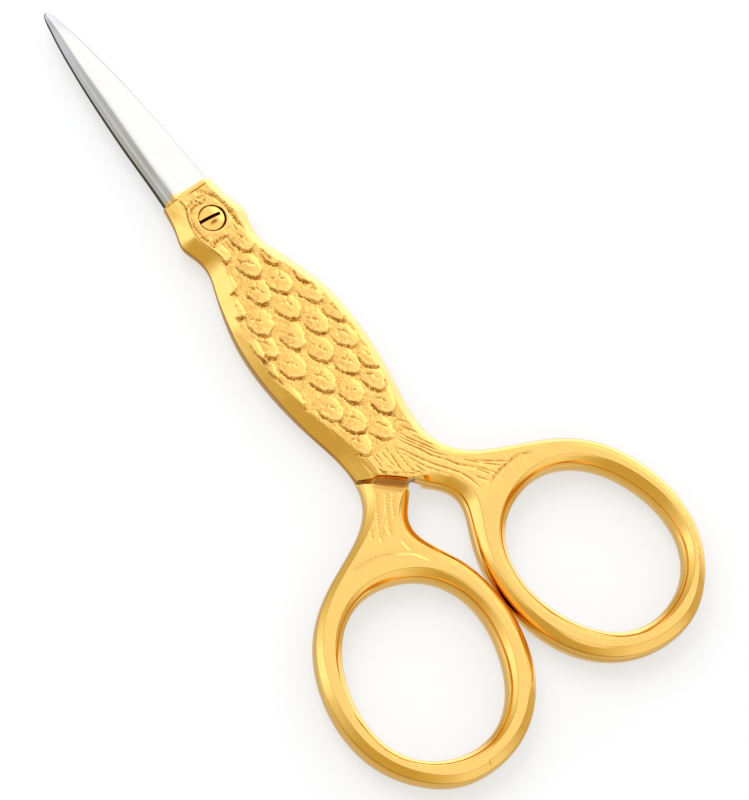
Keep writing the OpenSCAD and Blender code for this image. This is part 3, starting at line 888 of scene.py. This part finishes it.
    # end walls, down to the sliding plane
    e_top = np.concatenate([idE, idS[0, :1:-1]])
    e_xy = np.vstack([end, pS[0, :1:-1]])
    tz = np.vstack([end_z[:, None], zS[0, :1:-1][:, None]])[:, 0]
    run = np.r_[0, np.cumsum(np.linalg.norm(np.diff(e_xy, axis=0), axis=1))]
    out_n = np.gradient(e_xy, axis=0)
    out_n = np.c_[-out_n[:, 1], out_n[:, 0]] / np.linalg.norm(out_n, axis=1)[:, None]
    out_n *= np.sign(-out_n[:, 1].mean())
    push = (0.42 * smooth(0, 0.9, run) * smooth(run[-1], run[-1] - 1.6, run))[:, None]
    # painted shade on the end wall in the gap between the halves: the lowest lip and lower rows drawn dark, darker
    # towards the outer corner
    lips = []
    for share, zs, dk in ((0.5, 0.975, 0.0), (0.9, 0.91, 0.0), (1.0, 0.80, 0.18)):
        lips.append(sh.add(np.c_[e_xy + out_n * push * share, G + (tz - G) * zs], dark=dk + 0.2 * smooth(-3.4, -4.8, e_xy[:, 0])))
    e_xy = e_xy + out_n * push
    low = 0.68 + 0.2 * smooth(-3.0, -4.6, e_xy[:, 0])
    e_bot = sh.add(np.c_[e_xy, np.full(len(e_xy), G)])
    rows = [e_top] + lips + [sh.add(np.c_[e_xy, np.full(len(e_xy), G + 0.7)], dark=low),
                             sh.add(np.c_[e_xy, np.full(len(e_xy), G + 0.04)], dark=low), e_bot]
    sh.faces.append([int(v) for v in np.concatenate([idA[-1, :], [r[0] for r in rows]])])
    for a, b in zip(rows[:-1], rows[1:]):
        sh.strip(a, b)
    sh.faces.append([int(r[-1]) for r in rows] + [int(idS[0, 0]), int(idS[0, 1])])
    sh.crease(np.concatenate([idA[-1, -1:], e_top, [idS[0, 1]]]))
    sh.crease(np.concatenate([idA[-1, :1], e_bot, [idS[0, 0]]]))
    p_top = np.concatenate([idS[-1, 2:], idL, idA[0, :1:-1]])
    p_xy = np.vstack([pS[-1, 2:], lineT, pA[0, :1:-1]])
    p_bot = sh.add(np.c_[p_xy, np.full(len(p_xy), G)])
    pt = np.concatenate([[idS[-1, 1]], p_top, [idA[0, 1]]])
    pb = np.concatenate([[idS[-1, 0]], p_bot, [idA[0, 0]]])
    sh.strip(pt, pb)
    sh.crease(pt)
    sh.crease(pb)

    # sliding face
    f_ids = np.concatenate([idA[:i1, 0], hi, idA[i2 + 1:, 0], e_bot, idS[:, 0], p_bot])
    f_xy = np.vstack([Axy[:i1 + 1], w_xy, Axy[i2:], e_xy, Sxy, p_xy])
    sh.crease(f_ids, closed=True)
    grid = hexes(-6, 6, -37, 4, 1.1, 8)
    grid = grid[inside(grid, f_xy) & (np.hypot(grid[:, 0], grid[:, 1]) > 1.9)]
    _, db = nearest(grid, f_xy)
    grid = grid[db > 0.5]
    sh.fill([(f_ids, f_xy), (idBl, circle(rlow, nb))], grid, lambda x, y: (np.full(len(x), G), 0, 0, 0), flip=True)
    return sh


def make_mesh(name, sh, turn=False):
    co = np.vstack(sh.co)
    rel, gnd, dark = np.concatenate(sh.rel), np.concatenate(sh.gnd), np.concatenate(sh.dark)
    faces = sh.faces
    me = bpy.data.meshes.new(name)
    side = 1.0
    if turn:
        co = co * [-1, 1, -1]
    me.from_pydata([], [], [])
    me.clear_geometry()
    me.from_pydata(to_row(co).tolist(), [], faces)
    me.update()
    # fine hollows and ridges, from how far each point stands from its neighbours' mean: the gold material paints shade
    # into the hollows and highlight onto the ridges from it
    ev = np.zeros(len(me.edges) * 2, int)
    me.edges.foreach_get("vertices", ev)
    ev = ev.reshape(-1, 2)
    deg = np.bincount(ev.ravel(), minlength=len(co)).astype(float)
    z0 = co[:, 2] * (-1 if turn else 1)
    z = z0.copy()
    for _ in range(7):
        acc = np.bincount(ev[:, 0], z[ev[:, 1]], len(co)) + np.bincount(ev[:, 1], z[ev[:, 0]], len(co))
        z = 0.5 * z + 0.5 * acc / np.maximum(deg, 1)
    cav = np.clip((z - z0) / 0.045 * np.minimum(rel * 2 + gnd * 2, 1), -1, 1)
    for _ in range(1):
        acc = np.bincount(ev[:, 0], cav[ev[:, 1]], len(co)) + np.bincount(ev[:, 1], cav[ev[:, 0]], len(co))
        cav = 0.5 * cav + 0.5 * acc / np.maximum(deg, 1)
    at = me.attributes.new("tone", "FLOAT_COLOR", "POINT")
    col = np.c_[rel, 0.5 + 0.5 * cav, gnd, dark].astype(np.float32)
    at.data.foreach_set("color", col.ravel())
    me.polygons.foreach_set("use_smooth", np.ones(len(me.polygons), bool))
    if sh.sharp:
        want = np.sort(np.vstack(sh.sharp), 1)
        key = want[:, 0].astype(np.int64) * 10000000 + want[:, 1]
        have = np.sort(ev, 1)
        hk = have[:, 0].astype(np.int64) * 10000000 + have[:, 1]
        se = me.attributes.new("sharp_edge", "BOOLEAN", "EDGE") if "sharp_edge" not in me.attributes else me.attributes["sharp_edge"]
        se.data.foreach_set("value", np.isin(hk, key))
    me.update()
    o = bpy.data.objects.new(name, me)
    bpy.context.scene.collection.objects.link(o)
    return o


# ------------------------------------------------------------------ blades and screw
BLADE = [[3.2, 4.4, 1.0, 1.1], [3.0, 8, 0.92, 1.12], [2.85, 12, 0.85, 1.2], [2.6, 16, 0.77, 1.22],
         [2.27, 20, 0.68, 1.12], [1.83, 24, 0.58, 0.95], [1.22, 28, 0.47, 0.75], [0.82, 30, 0.4, 0.5],
         [0.55, 31.05, 0.35, 0.3], [0.36, 31.45, 0.30, 0.2], [0.2, 31.66, 0.25, 0.12], [0.05, 31.75, 0.2, 0.05]]


# Fall of the hollow face from the ridge to the edge: gentle beside the ridge, then steady
FALL_T = np.linspace(0, 1, 101)
FALL_Z = np.cumsum(0.3 + 0.7 * smooth(0, 0.2, FALL_T) + 0.15 * FALL_T)
FALL_Z = (FALL_Z - FALL_Z[0]) / (FALL_Z[-1] - FALL_Z[0])


def half_blade():
    rows = spline(BLADE, 60)
    rows = rows[rows[:, 1] > 4.42]
    rows = rows[np.r_[True, np.diff(np.floor(rows[:, 1] / 0.3 + 6 * smooth(31, 31.7, rows[:, 1]))) > 0]]
    first = [[BLADE[0][0] - 0.055 * max(0.0, y - 4.4), y, 1.0 - 0.022 * max(0.0, y - 4.4), 1.1]
             for y in np.arange(4.15, 5.0, 0.07)]
    rows = np.vstack([first, rows[rows[:, 1] > 5.02]])
    sh = Shell()
    ids = []
    for w, y, hs, r in rows:
        w = max(w, 0.04) - 0.004
        h = G + 1.7 * hs + 0.28 * float(smooth(8.5, 4.4, y))
        hh = h - G
        we = max(w - 0.05 - 0.03 * float(smooth(13, 21, y)), 0.3 * w)
        x0, xr = -w, -w + r
        # upright spine land, facet, line under the ridge, soft ridge, face, edge bevel
        e = min(0.15, 0.3 * r)
        lo = 0.33
        # the third value of each section point is painted darkness: dark reflection lines on the spine land, the facet
        # lines, under the ridge and at the cutting edge
        sec = [(x0, G, 0.2), (x0 + 0.02 * e, G + 0.04 * hh, 1), (x0 + 0.45 * e, G + 0.17 * hh, 1),
               (x0 + 0.92 * e, G + 0.30 * hh, 1), (x0 + e, G + lo * hh, 0.12)]
        for t, k in ((0.1, 0.16), (0.22, 0.2), (0.34, 0.14), (0.46, 0.10), (0.48, 0.09), (0.60, 0.12), (0.72, 0.14), (0.86, 0.16)):
            sec.append((x0 + e + t * (r - e), G + hh * (lo + (1 - lo) * t - 0.02 * (0.46 < t < 0.7)), k))
        sec += [(x0 + 0.93 * r, G + (lo + (1 - lo) * 0.925) * hh, 0.1), (x0 + 0.95 * r, G + (lo + (1 - lo) * 0.945) * hh, 0.4),
                (x0 + 0.99 * r, G + 0.978 * hh, 0.1)]
        be = 0.08 + 0.08 * float(smooth(15, 23, y))
        ze = 0.12 + 0.05 * float(smooth(15, 23, y))
        fw = we - be - xr
        ze = min(ze, 0.5 * hh)
        for t in (0.0, 0.02, 0.05, 0.09, 0.14, 0.2, 0.28, 0.38, 0.5, 0.62, 0.74, 0.85, 0.93, 1.0):
            x = xr + fw * t
            z = G + hh - (hh - ze) * float(np.interp(t, FALL_T, FALL_Z))
            sec.append((x, z, 0.17 * (1 - t / 0.15) if t < 0.15 else 0.0))
        sec.append((we - be * 0.5, G + ze * 0.52, 0.06))
        sec.append((we, G + 0.012, 0.32))
        sec.append((we, G, 0.1))
        for k in range(1, 6):
            sec.append((we - (we - x0) * k / 6, G, 0.06))
        sec.append((x0 + 0.05 * (we - x0), G, 0.1))
        sec = np.array(sec)
        gilt = smooth(0.50, -0.15, y - 4.42 + 0.10 * np.sin(sec[:, 0] * 7.0) - 0.14 * smooth(-2.6, -2.1, sec[:, 0]) * smooth(-1.0, -2.1, sec[:, 0])
                      - 0.25 * smooth(1.2, 2.0, sec[:, 0]) * smooth(2.9, 2.2, sec[:, 0]))
        # the last 0.2 mm of the tip is drawn dark as well
        ids.append(sh.add(np.c_[sec[:, 0], np.full(len(sec), y), sec[:, 1]], rel=gilt,
                          dark=np.maximum(sec[:, 2], float(smooth(31.5, 31.7, y)))))
    ids = np.array(ids)
    loop = np.hstack([ids, ids[:, :1]])
    sh.grid(loop)
    sh.faces.append(ids[0].tolist())
    sh.faces.append(ids[-1][::-1].tolist())
    n = ids.shape[1]
    for c in (0, 4, 14, 16, n - 10, n - 8, n - 7):
        sh.crease(ids[:, c])
    sh.crease(ids[0], closed=True)
    return sh


def fix_normals(o):
    import bmesh
    bm = bmesh.new()
    bm.from_mesh(o.data)
    bmesh.ops.recalc_face_normals(bm, faces=bm.faces)
    bm.to_mesh(o.data)
    bm.free()


def lathe(name, prof, n):
    prof = np.array(prof, float)
    v, f = [], []
    for r, z in prof[1:-1]:
        for k in range(n):
            t = 2 * math.pi * k / n
            v.append((r * math.cos(t), r * math.sin(t), z))
    m = len(prof) - 2
    for i in range(m - 1):
        for k in range(n):
            f.append((i * n + k, i * n + (k + 1) % n, (i + 1) * n + (k + 1) % n, (i + 1) * n + k))
    a, b = len(v), len(v) + 1
    v += [(0, 0, prof[0][1]), (0, 0, prof[-1][1])]
    for k in range(n):
        f.append((a, (k + 1) % n, k))
        f.append((b, (m - 1) * n + k, (m - 1) * n + (k + 1) % n))
    me = bpy.data.meshes.new(name)
    me.from_pydata(v, [], f)
    o = bpy.data.objects.new(name, me)
    bpy.context.scene.collection.objects.link(o)
    fix_normals(o)
    return o


def applied(o):
    dg = bpy.context.evaluated_depsgraph_get()
    me = bpy.data.meshes.new_from_object(o.evaluated_get(dg))
    old = o.data
    o.modifiers.clear()
    o.data = me
    bpy.data.meshes.remove(old)


def pivot_screw(name):
    head = [(0, -HT + 0.13), (0.55, -HT + 0.135), (0.86, -HT + 0.17), (0.95, -HT + 0.21), (0.985, -HT + 0.27), (1.0, -1.8), (1.0, 0),
            (1.0, 1.24), (1.5, 1.24), (1.54, 1.3), (1.54, 1.6), (1.54, 1.93), (1.52, 2.0), (1.47, 2.05), (1.40, 2.085)]
    head += [(r, 2.27 - 0.18 * (r / 1.40) ** 2.2) for r in (1.25, 1.05, 0.85, 0.65, 0.45, 0.25, 0.12)]
    head += [(0, 2.27)]
    o = lathe(name, head, 96)
    cut = bpy.data.meshes.new("slot_cut")
    w, l, z0, z1 = 0.205, 3.0, 1.55, 4.0
    a = math.radians(-7)
    c, s = math.cos(a), math.sin(a)
    vv = []
    for z in (z0, z1):
        for x, y in ((-l, -w), (1.12, -w), (1.12, w), (-l, w)):
            vv.append((x * c - (y + 0.1) * s, x * s + (y + 0.1) * c, z))
    cut.from_pydata(vv, [], [(0, 3, 2, 1), (4, 5, 6, 7), (0, 1, 5, 4), (1, 2, 6, 5), (2, 3, 7, 6), (3, 0, 4, 7)])
    k = bpy.data.objects.new("slot_cut", cut)
    bpy.context.scene.collection.objects.link(k)
    m = o.modifiers.new("slot", "BOOLEAN")
    m.object, m.operation, m.solver = k, "DIFFERENCE", "EXACT"
    b = o.modifiers.new("edge", "BEVEL")
    b.width, b.segments, b.limit_method, b.angle_limit = 0.035, 2, "ANGLE", math.radians(50)
    bpy.context.view_layer.update()
    applied(o)
    bpy.data.objects.remove(k)
    co = np.zeros(len(o.data.vertices) * 3)
    o.data.vertices.foreach_get("co", co)
    co = co.reshape(-1, 3)
    o.data.vertices.foreach_set("co", to_row(co).ravel())
    off = np.abs(-co[:, 0] * s + (co[:, 1] - 0.1) * c)
    rad = np.hypot(co[:, 0], co[:, 1])
    # painted shade: the slot drawn black, the gap round the head dark and darker towards -y; a painted dark reflection
    # patch below the slot
    slot = (off < w + 0.02) & (co[:, 2] > 1.4) & (co[:, 2] < 2.18 - 0.18 * (rad / 1.4) ** 2.2)
    low = (rad > 1.45) & (co[:, 2] < 1.95) & (co[:, 2] > 0.5)
    shade = smooth(-0.55, 0.35, (co[:, 0] * 0.25 - co[:, 1] * 0.97) / 1.5)
    dark_reflection_patch = smooth(0.62, 0.12, np.hypot((co[:, 0] + 0.1) * 0.8, (co[:, 1] + 0.52) * 1.9)) * (co[:, 2] > 2.0)
    dark = np.where(slot, 1.0, np.where(low, 0.4 + 0.6 * shade, 0.6 * dark_reflection_patch))
    at = o.data.attributes.new("tone", "FLOAT_COLOR", "POINT")
    at.data.foreach_set("color", np.c_[dark * 0, dark * 0 + 0.5, dark * 0, dark].astype(np.float32).ravel())
    o.data.polygons.foreach_set("use_smooth", np.ones(len(o.data.polygons), bool))
    o.data.set_sharp_from_angle(angle=math.radians(38))
    o.data.update()
    return o


# ------------------------------------------------------------------ materials
def new_material(name):
    m = bpy.data.materials.new(name)
    m.use_nodes = True
    nt = m.node_tree
    return m, nt, nt.nodes["Principled BSDF"]


def node(nt, kind, **kw):
    n = nt.nodes.new(kind)
    for k, v in kw.items():
        if k in ("operation", "blend_type", "data_type", "attribute_name", "noise_dimensions", "interpolation",
                 "invert", "feature", "distance", "vector_type", "rotation_type", "musgrave_type", "mode"):
            setattr(n, k, v)
        else:
            n.inputs[k].default_value = v
    return n


def math_node(nt, op, a, b=None, clamp=False):
    n = nt.nodes.new("ShaderNodeMath")
    n.operation = op
    n.use_clamp = clamp
    for i, v in enumerate((a, b)):
        if v is None:
            continue
        if isinstance(v, (int, float)):
            n.inputs[i].default_value = v
        else:
            nt.links.new(v, n.inputs[i])
    return n.outputs[0]


def mix_color(nt, fac, a, b):
    n = nt.nodes.new("ShaderNodeMix")
    n.data_type = "RGBA"
    if isinstance(fac, (int, float)):
        n.inputs[0].default_value = fac
    else:
        nt.links.new(fac, n.inputs[0])
    for i, v in ((6, a), (7, b)):
        if isinstance(v, tuple):
            n.inputs[i].default_value = v
        else:
            nt.links.new(v, n.inputs[i])
    return n.outputs[2]


def mapped(nt, scale, coord):
    n = nt.nodes.new("ShaderNodeMapping")
    n.inputs["Scale"].default_value = scale
    nt.links.new(coord, n.inputs["Vector"])
    return n.outputs[0]


def noise(nt, vec, scale, detail=2.0, rough=0.5):
    n = nt.nodes.new("ShaderNodeTexNoise")
    n.inputs["Scale"].default_value = scale
    n.inputs["Detail"].default_value = detail
    n.inputs["Roughness"].default_value = rough
    nt.links.new(vec, n.inputs["Vector"])
    return n.outputs[0]


GOLD = (0.88, 0.535, 0.145, 1)
GOLD_SHADE = (0.36, 0.15, 0.02, 1)
GOLD_SHADE_BLACK = (0.035, 0.006, 0.003, 1)


def toned(nt):
    """Relief, hollow, punched ground and darkness (painted shade and painted dark reflection lines) from the mesh's
    tone attribute.
    """
    at = nt.nodes.new("ShaderNodeAttribute")
    at.attribute_name = "tone"
    sp = nt.nodes.new("ShaderNodeSeparateColor")
    nt.links.new(at.outputs["Color"], sp.inputs[0])
    return sp.outputs[0], sp.outputs[1], sp.outputs[2], at.outputs["Alpha"]


def bumped(nt, bs, height):
    bp = nt.nodes.new("ShaderNodeBump")
    bp.inputs["Strength"].default_value = 1.0
    bp.inputs["Distance"].default_value = 1.0
    nt.links.new(height, bp.inputs["Height"])
    nt.links.new(bp.outputs[0], bs.inputs["Normal"])


def gold_material(name, carved=True):
    m, nt, bs = new_material(name)
    bs.inputs["Metallic"].default_value = 1.0
    tc = nt.nodes.new("ShaderNodeTexCoord")
    obj = tc.outputs["Object"]
    n1 = noise(nt, obj, 260.0, 3.0)
    base = mix_color(nt, math_node(nt, "MULTIPLY", n1, 0.35), GOLD, (0.92, 0.60, 0.17, 1))
    rough = math_node(nt, "ADD", math_node(nt, "MULTIPLY", n1, 0.05), 0.06)
    height = math_node(nt, "MULTIPLY", noise(nt, obj, 190.0, 1.0), 0.00006)
    rel, cav, gnd, dark = toned(nt)
    if carved:
        n2 = noise(nt, obj, 2600.0, 3.0, 0.6)
        # painted shade in the hollows and painted highlight on the ridges, from the cav channel
        deep = math_node(nt, "MULTIPLY", math_node(nt, "SUBTRACT", cav, 0.5), 1.1, clamp=True)
        base = mix_color(nt, deep, base, GOLD_SHADE)
        ridge_highlight = math_node(nt, "MULTIPLY", math_node(nt, "SUBTRACT", 0.5, cav), 0.7, clamp=True)
        base = mix_color(nt, math_node(nt, "MULTIPLY", gnd, 0.75), base, (0.80, 0.47, 0.12, 1))
        base = mix_color(nt, ridge_highlight, base, (0.96, 0.66, 0.26, 1))
        rough = math_node(nt, "ADD", rough, math_node(nt, "MULTIPLY", rel, 0.17))
        rough = math_node(nt, "ADD", rough, math_node(nt, "MULTIPLY", gnd, 0.12))
        grain = math_node(nt, "MULTIPLY", math_node(nt, "MULTIPLY", n2, rel), 0.00003)
        height = math_node(nt, "ADD", height, grain)
    # painted shade and painted dark reflection lines from the tone's darkness
    base = mix_color(nt, math_node(nt, "MULTIPLY", dark, 2.0, clamp=True), base, GOLD_SHADE)
    base = mix_color(nt, math_node(nt, "SUBTRACT", math_node(nt, "MULTIPLY", dark, 2.0), 1.0, clamp=True),
                     base, GOLD_SHADE_BLACK)
    nt.links.new(base, bs.inputs["Base Color"])
    nt.links.new(rough, bs.inputs["Roughness"])
    bumped(nt, bs, height)
    return m


def steel_material(name):
    m, nt, bs = new_material(name)
    bs.inputs["Metallic"].default_value = 1.0
    tc = nt.nodes.new("ShaderNodeTexCoord")
    obj = tc.outputs["Object"]
    rel, cav, gnd, dark = toned(nt)
    lines = noise(nt, mapped(nt, (5200.0, 40.0, 5200.0), obj), 1.0, 3.0, 0.65)
    cloud = noise(nt, obj, 180.0, 2.0)
    base = mix_color(nt, cloud, (0.50, 0.486, 0.479, 1), (0.53, 0.516, 0.509, 1))
    streak = math_node(nt, "MULTIPLY", math_node(nt, "SUBTRACT", lines, 0.42), 3.0, clamp=True)
    base = mix_color(nt, math_node(nt, "MULTIPLY", streak, 0.14), base, (0.34, 0.33, 0.32, 1))
    base = mix_color(nt, rel, base, GOLD)
    # painted dark reflection lines and painted shade from the tone's darkness
    base = mix_color(nt, dark, base, (0.05, 0.045, 0.04, 1))
    nt.links.new(base, bs.inputs["Base Color"])
    rough = math_node(nt, "ADD", math_node(nt, "MULTIPLY", lines, 0.10), 0.05)
    nt.links.new(rough, bs.inputs["Roughness"])
    bumped(nt, bs, math_node(nt, "MULTIPLY", lines, 0.000006))
    return m


# ------------------------------------------------------------------ camera
scene = bpy.context.scene
PX, PY = 374.5, 400.0
TAU, PHI_C, AL = math.radians(22.5), math.radians(118.0), math.radians(53.85)
DIST, PPM = 500.0, 8.8
U = np.array([math.cos(PHI_C), math.sin(PHI_C)])
V = np.array([-U[1], U[0]])
XD = np.array([math.sin(AL), -math.cos(AL)])
YD = -np.array([math.cos(AL), math.sin(AL)])


def on_plane(px, py, z):
    q = np.array([px - PX, py - PY])
    qu, qv = q @ U, q @ V
    sn, cs = math.sin(TAU), math.cos(TAU)
    pu = (qu * (DIST - z * cs) + PPM * DIST * z * sn) / (PPM * DIST * cs + qu * sn)
    pv = qv * (DIST - pu * sn - z * cs) / (PPM * DIST)
    return pu * U + pv * V


ORG = on_plane(212.9, 217.5, 2.0) - 0.15 * XD


def sc_point(w, z):
    d = np.array(w) - ORG
    return Vector(to_row([[d @ XD, d @ YD, z]])[0])


def sc_dir(w, z):
    return Vector((float(np.array(w) @ XD), float(np.array(w) @ YD), z))


cam_pos = sc_point(DIST * math.sin(TAU) * U, DIST * math.cos(TAU))
e_u = (math.cos(TAU) * U, -math.sin(TAU))
right = sc_dir(U[0] * e_u[0] + V[0] * V, U[0] * e_u[1]).normalized()
down = sc_dir(U[1] * e_u[0] + V[1] * V, U[1] * e_u[1]).normalized()
back = sc_dir(math.sin(TAU) * U, math.cos(TAU)).normalized()
cam = bpy.data.cameras.new("camera")
cam.sensor_fit = "AUTO"
cam.sensor_width = 36.0
cam.lens = PPM * DIST / 800 * 36
cam.clip_start, cam.clip_end = 0.01, 20
cam_o = bpy.data.objects.new("camera", cam)
scene.collection.objects.link(cam_o)
up = -down
cam_o.matrix_world = Matrix(((right.x, up.x, back.x, cam_pos.x), (right.y, up.y, back.y, cam_pos.y),
                             (right.z, up.z, back.z, cam_pos.z), (0, 0, 0, 1)))
scene.camera = cam_o

# ------------------------------------------------------------------ build
half_f, half_r = half_handle(True), half_handle(False)
blade = half_blade()
front_handle = make_mesh("front_handle_form", half_f)
rear_handle = make_mesh("rear_handle_form", half_r, turn=True)
front_blade = make_mesh("front_blade_form", blade)
rear_blade = make_mesh("rear_blade_form", blade, turn=True)
for o in (front_handle, rear_handle, front_blade, rear_blade):
    fix_normals(o)
screw = pivot_screw("pivot_screw_form")

gilt = gold_material("gilt_carved")
gilt_plain = gold_material("gilt_screw", carved=False)
steel = steel_material("blade_steel")
for o, mat, body, old, slot in ((front_handle, gilt, "front_half", "front_handle", "gilt"),
                                (rear_handle, gilt, "rear_half", "rear_handle", "gilt"),
                                (front_blade, steel, "front_half", "front_blade", "blade_steel"),
                                (rear_blade, steel, "rear_half", "rear_blade", "blade_steel"),
                                (screw, gilt_plain, "rear_half", "pivot_screw", "screw_gilt")):
    o.data.materials.append(mat)
    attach(o, body)
    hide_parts(old)

# ------------------------------------------------------------------ floor and light
fm = bpy.data.meshes.new("floor")
fm.from_pydata([(-1.5, -1.5, 0), (1.5, -1.5, 0), (1.5, 1.5, 0), (-1.5, 1.5, 0)], [], [(0, 1, 2, 3)])
floor = bpy.data.objects.new("floor", fm)
scene.collection.objects.link(floor)
fmat, fnt, fbs = new_material("floor_paper")
fbs.inputs["Base Color"].default_value = (0.268, 0.270, 0.276, 1)
fbs.inputs["Roughness"].default_value = 0.9
fbs.inputs["Specular IOR Level"].default_value = 0.0
fbs.inputs["Emission Color"].default_value = (1.0, 1.0, 1.0, 1)
fbs.inputs["Emission Strength"].default_value = 0.59
fm.materials.append(fmat)

world = bpy.data.worlds.new("studio")
scene.world = world
world.use_nodes = True
wt = world.node_tree
wt.nodes.clear()
geo = wt.nodes.new("ShaderNodeTexCoord")
sep = wt.nodes.new("ShaderNodeSeparateXYZ")
wt.links.new(geo.outputs["Generated"], sep.inputs[0])


def wdot(x, y, z):
    a = math_node(wt, "MULTIPLY", sep.outputs[0], x)
    b = math_node(wt, "MULTIPLY", sep.outputs[1], y)
    c = math_node(wt, "MULTIPLY", sep.outputs[2], z)
    return math_node(wt, "ADD", math_node(wt, "ADD", a, b), c)


def lobe(x, y, z, lo, hi):
    """A soft patch of the surroundings, centred on a direction."""
    n = math.sqrt(x * x + y * y + z * z)
    m = wt.nodes.new("ShaderNodeMapRange")
    m.interpolation_type = "SMOOTHSTEP"
    m.inputs["From Min"].default_value, m.inputs["From Max"].default_value = lo, hi
    wt.links.new(wdot(x / n, y / n, z / n), m.inputs["Value"])
    return m.outputs[0]


def ramp(value, stops, mode="EASE"):
    r = wt.nodes.new("ShaderNodeValToRGB")
    r.color_ramp.interpolation = mode
    e = r.color_ramp.elements
    e[0].position, e[0].color = 0.0, stops[0][1] + (1,)
    e[1].position, e[1].color = 1.0, stops[-1][1] + (1,)
    for pos, col in stops[1:-1]:
        e.new(pos).color = col + (1,)
    wt.links.new(value, r.inputs[0])
    return r.outputs[0]


# Round the horizon, from -X (0) over -Y (0.25), +X (0.5) and +Y (0.75) back to -X (1)
turn = math_node(wt, "ARCTAN2", sep.outputs[1], sep.outputs[0])
turn = math_node(wt, "ADD", math_node(wt, "MULTIPLY", turn, 0.5 / math.pi), 0.5)
low = ramp(turn, [(0.0, (0.68, 0.60, 0.32)), (0.06, (0.66, 0.55, 0.24)), (0.125, (0.66, 0.55, 0.24)),
                  (0.175, (0.82, 0.75, 0.44)), (0.235, (1.08, 1.10, 1.0)), (0.32, (1.05, 1.08, 1.0)),
                  (0.375, (0.72, 0.62, 0.38)), (0.43, (0.75, 0.68, 0.45)), (0.47, (1.3, 1.3, 1.35)),
                  (0.55, (1.7, 1.75, 1.9)), (0.66, (1.6, 1.65, 1.8)), (0.72, (0.72, 0.62, 0.38)),
                  (0.755, (0.72, 0.68, 0.48)), (0.80, (0.95, 0.97, 0.75)), (0.865, (1.35, 1.5, 1.6)),
                  (0.90, (1.45, 1.6, 1.75)), (0.935, (0.98, 1.0, 0.9)), (0.965, (0.84, 0.80, 0.62)),
                  (1.0, (0.68, 0.60, 0.32))], "LINEAR")
up = wt.nodes.new("ShaderNodeMapRange")
up.interpolation_type = "SMOOTHSTEP"
up.inputs["From Min"].default_value, up.inputs["From Max"].default_value = 0.45, 0.86
wt.links.new(sep.outputs[2], up.inputs["Value"])
sky = mix_color(wt, up.outputs[0], low, (1.2, 1.21, 1.26, 1))
sky = mix_color(wt, lobe(0.8, 0.17, 0.57, 0.86, 0.97), sky, (1.97, 2.0, 1.98, 1))
sky = mix_color(wt, lobe(0, 0, -1, 0.45, 0.9), sky, (0.72, 0.66, 0.52, 1))
bg = wt.nodes.new("ShaderNodeBackground")
wt.links.new(sky, bg.inputs[0])
bg.inputs[1].default_value = 1.0
out = wt.nodes.new("ShaderNodeOutputWorld")
wt.links.new(bg.outputs[0], out.inputs[0])


def area(name, pos, target, size, power, color=(1, 1, 1)):
    l = bpy.data.lights.new(name, "AREA")
    l.shape, l.size, l.size_y, l.energy, l.color = "RECTANGLE", size[0], size[1], power, color
    o = bpy.data.objects.new(name, l)
    scene.collection.objects.link(o)
    p, t = Vector(pos), Vector(target)
    z = (p - t).normalized()
    x = Vector((0, 1, 0)).cross(z).normalized()
    y = z.cross(x)
    o.matrix_world = Matrix(((x.x, y.x, z.x, p.x), (x.y, y.y, z.y, p.y), (x.z, y.z, z.z, p.z), (0, 0, 0, 1)))
    return o


key = area("key", (-0.02, 0.36, 0.50), (0, 0, 0), (0.4, 0.4), 2.2)
key.visible_glossy = False
floor.visible_glossy = False

scene.view_settings.view_transform = "Standard"
scene.view_settings.look = "None"
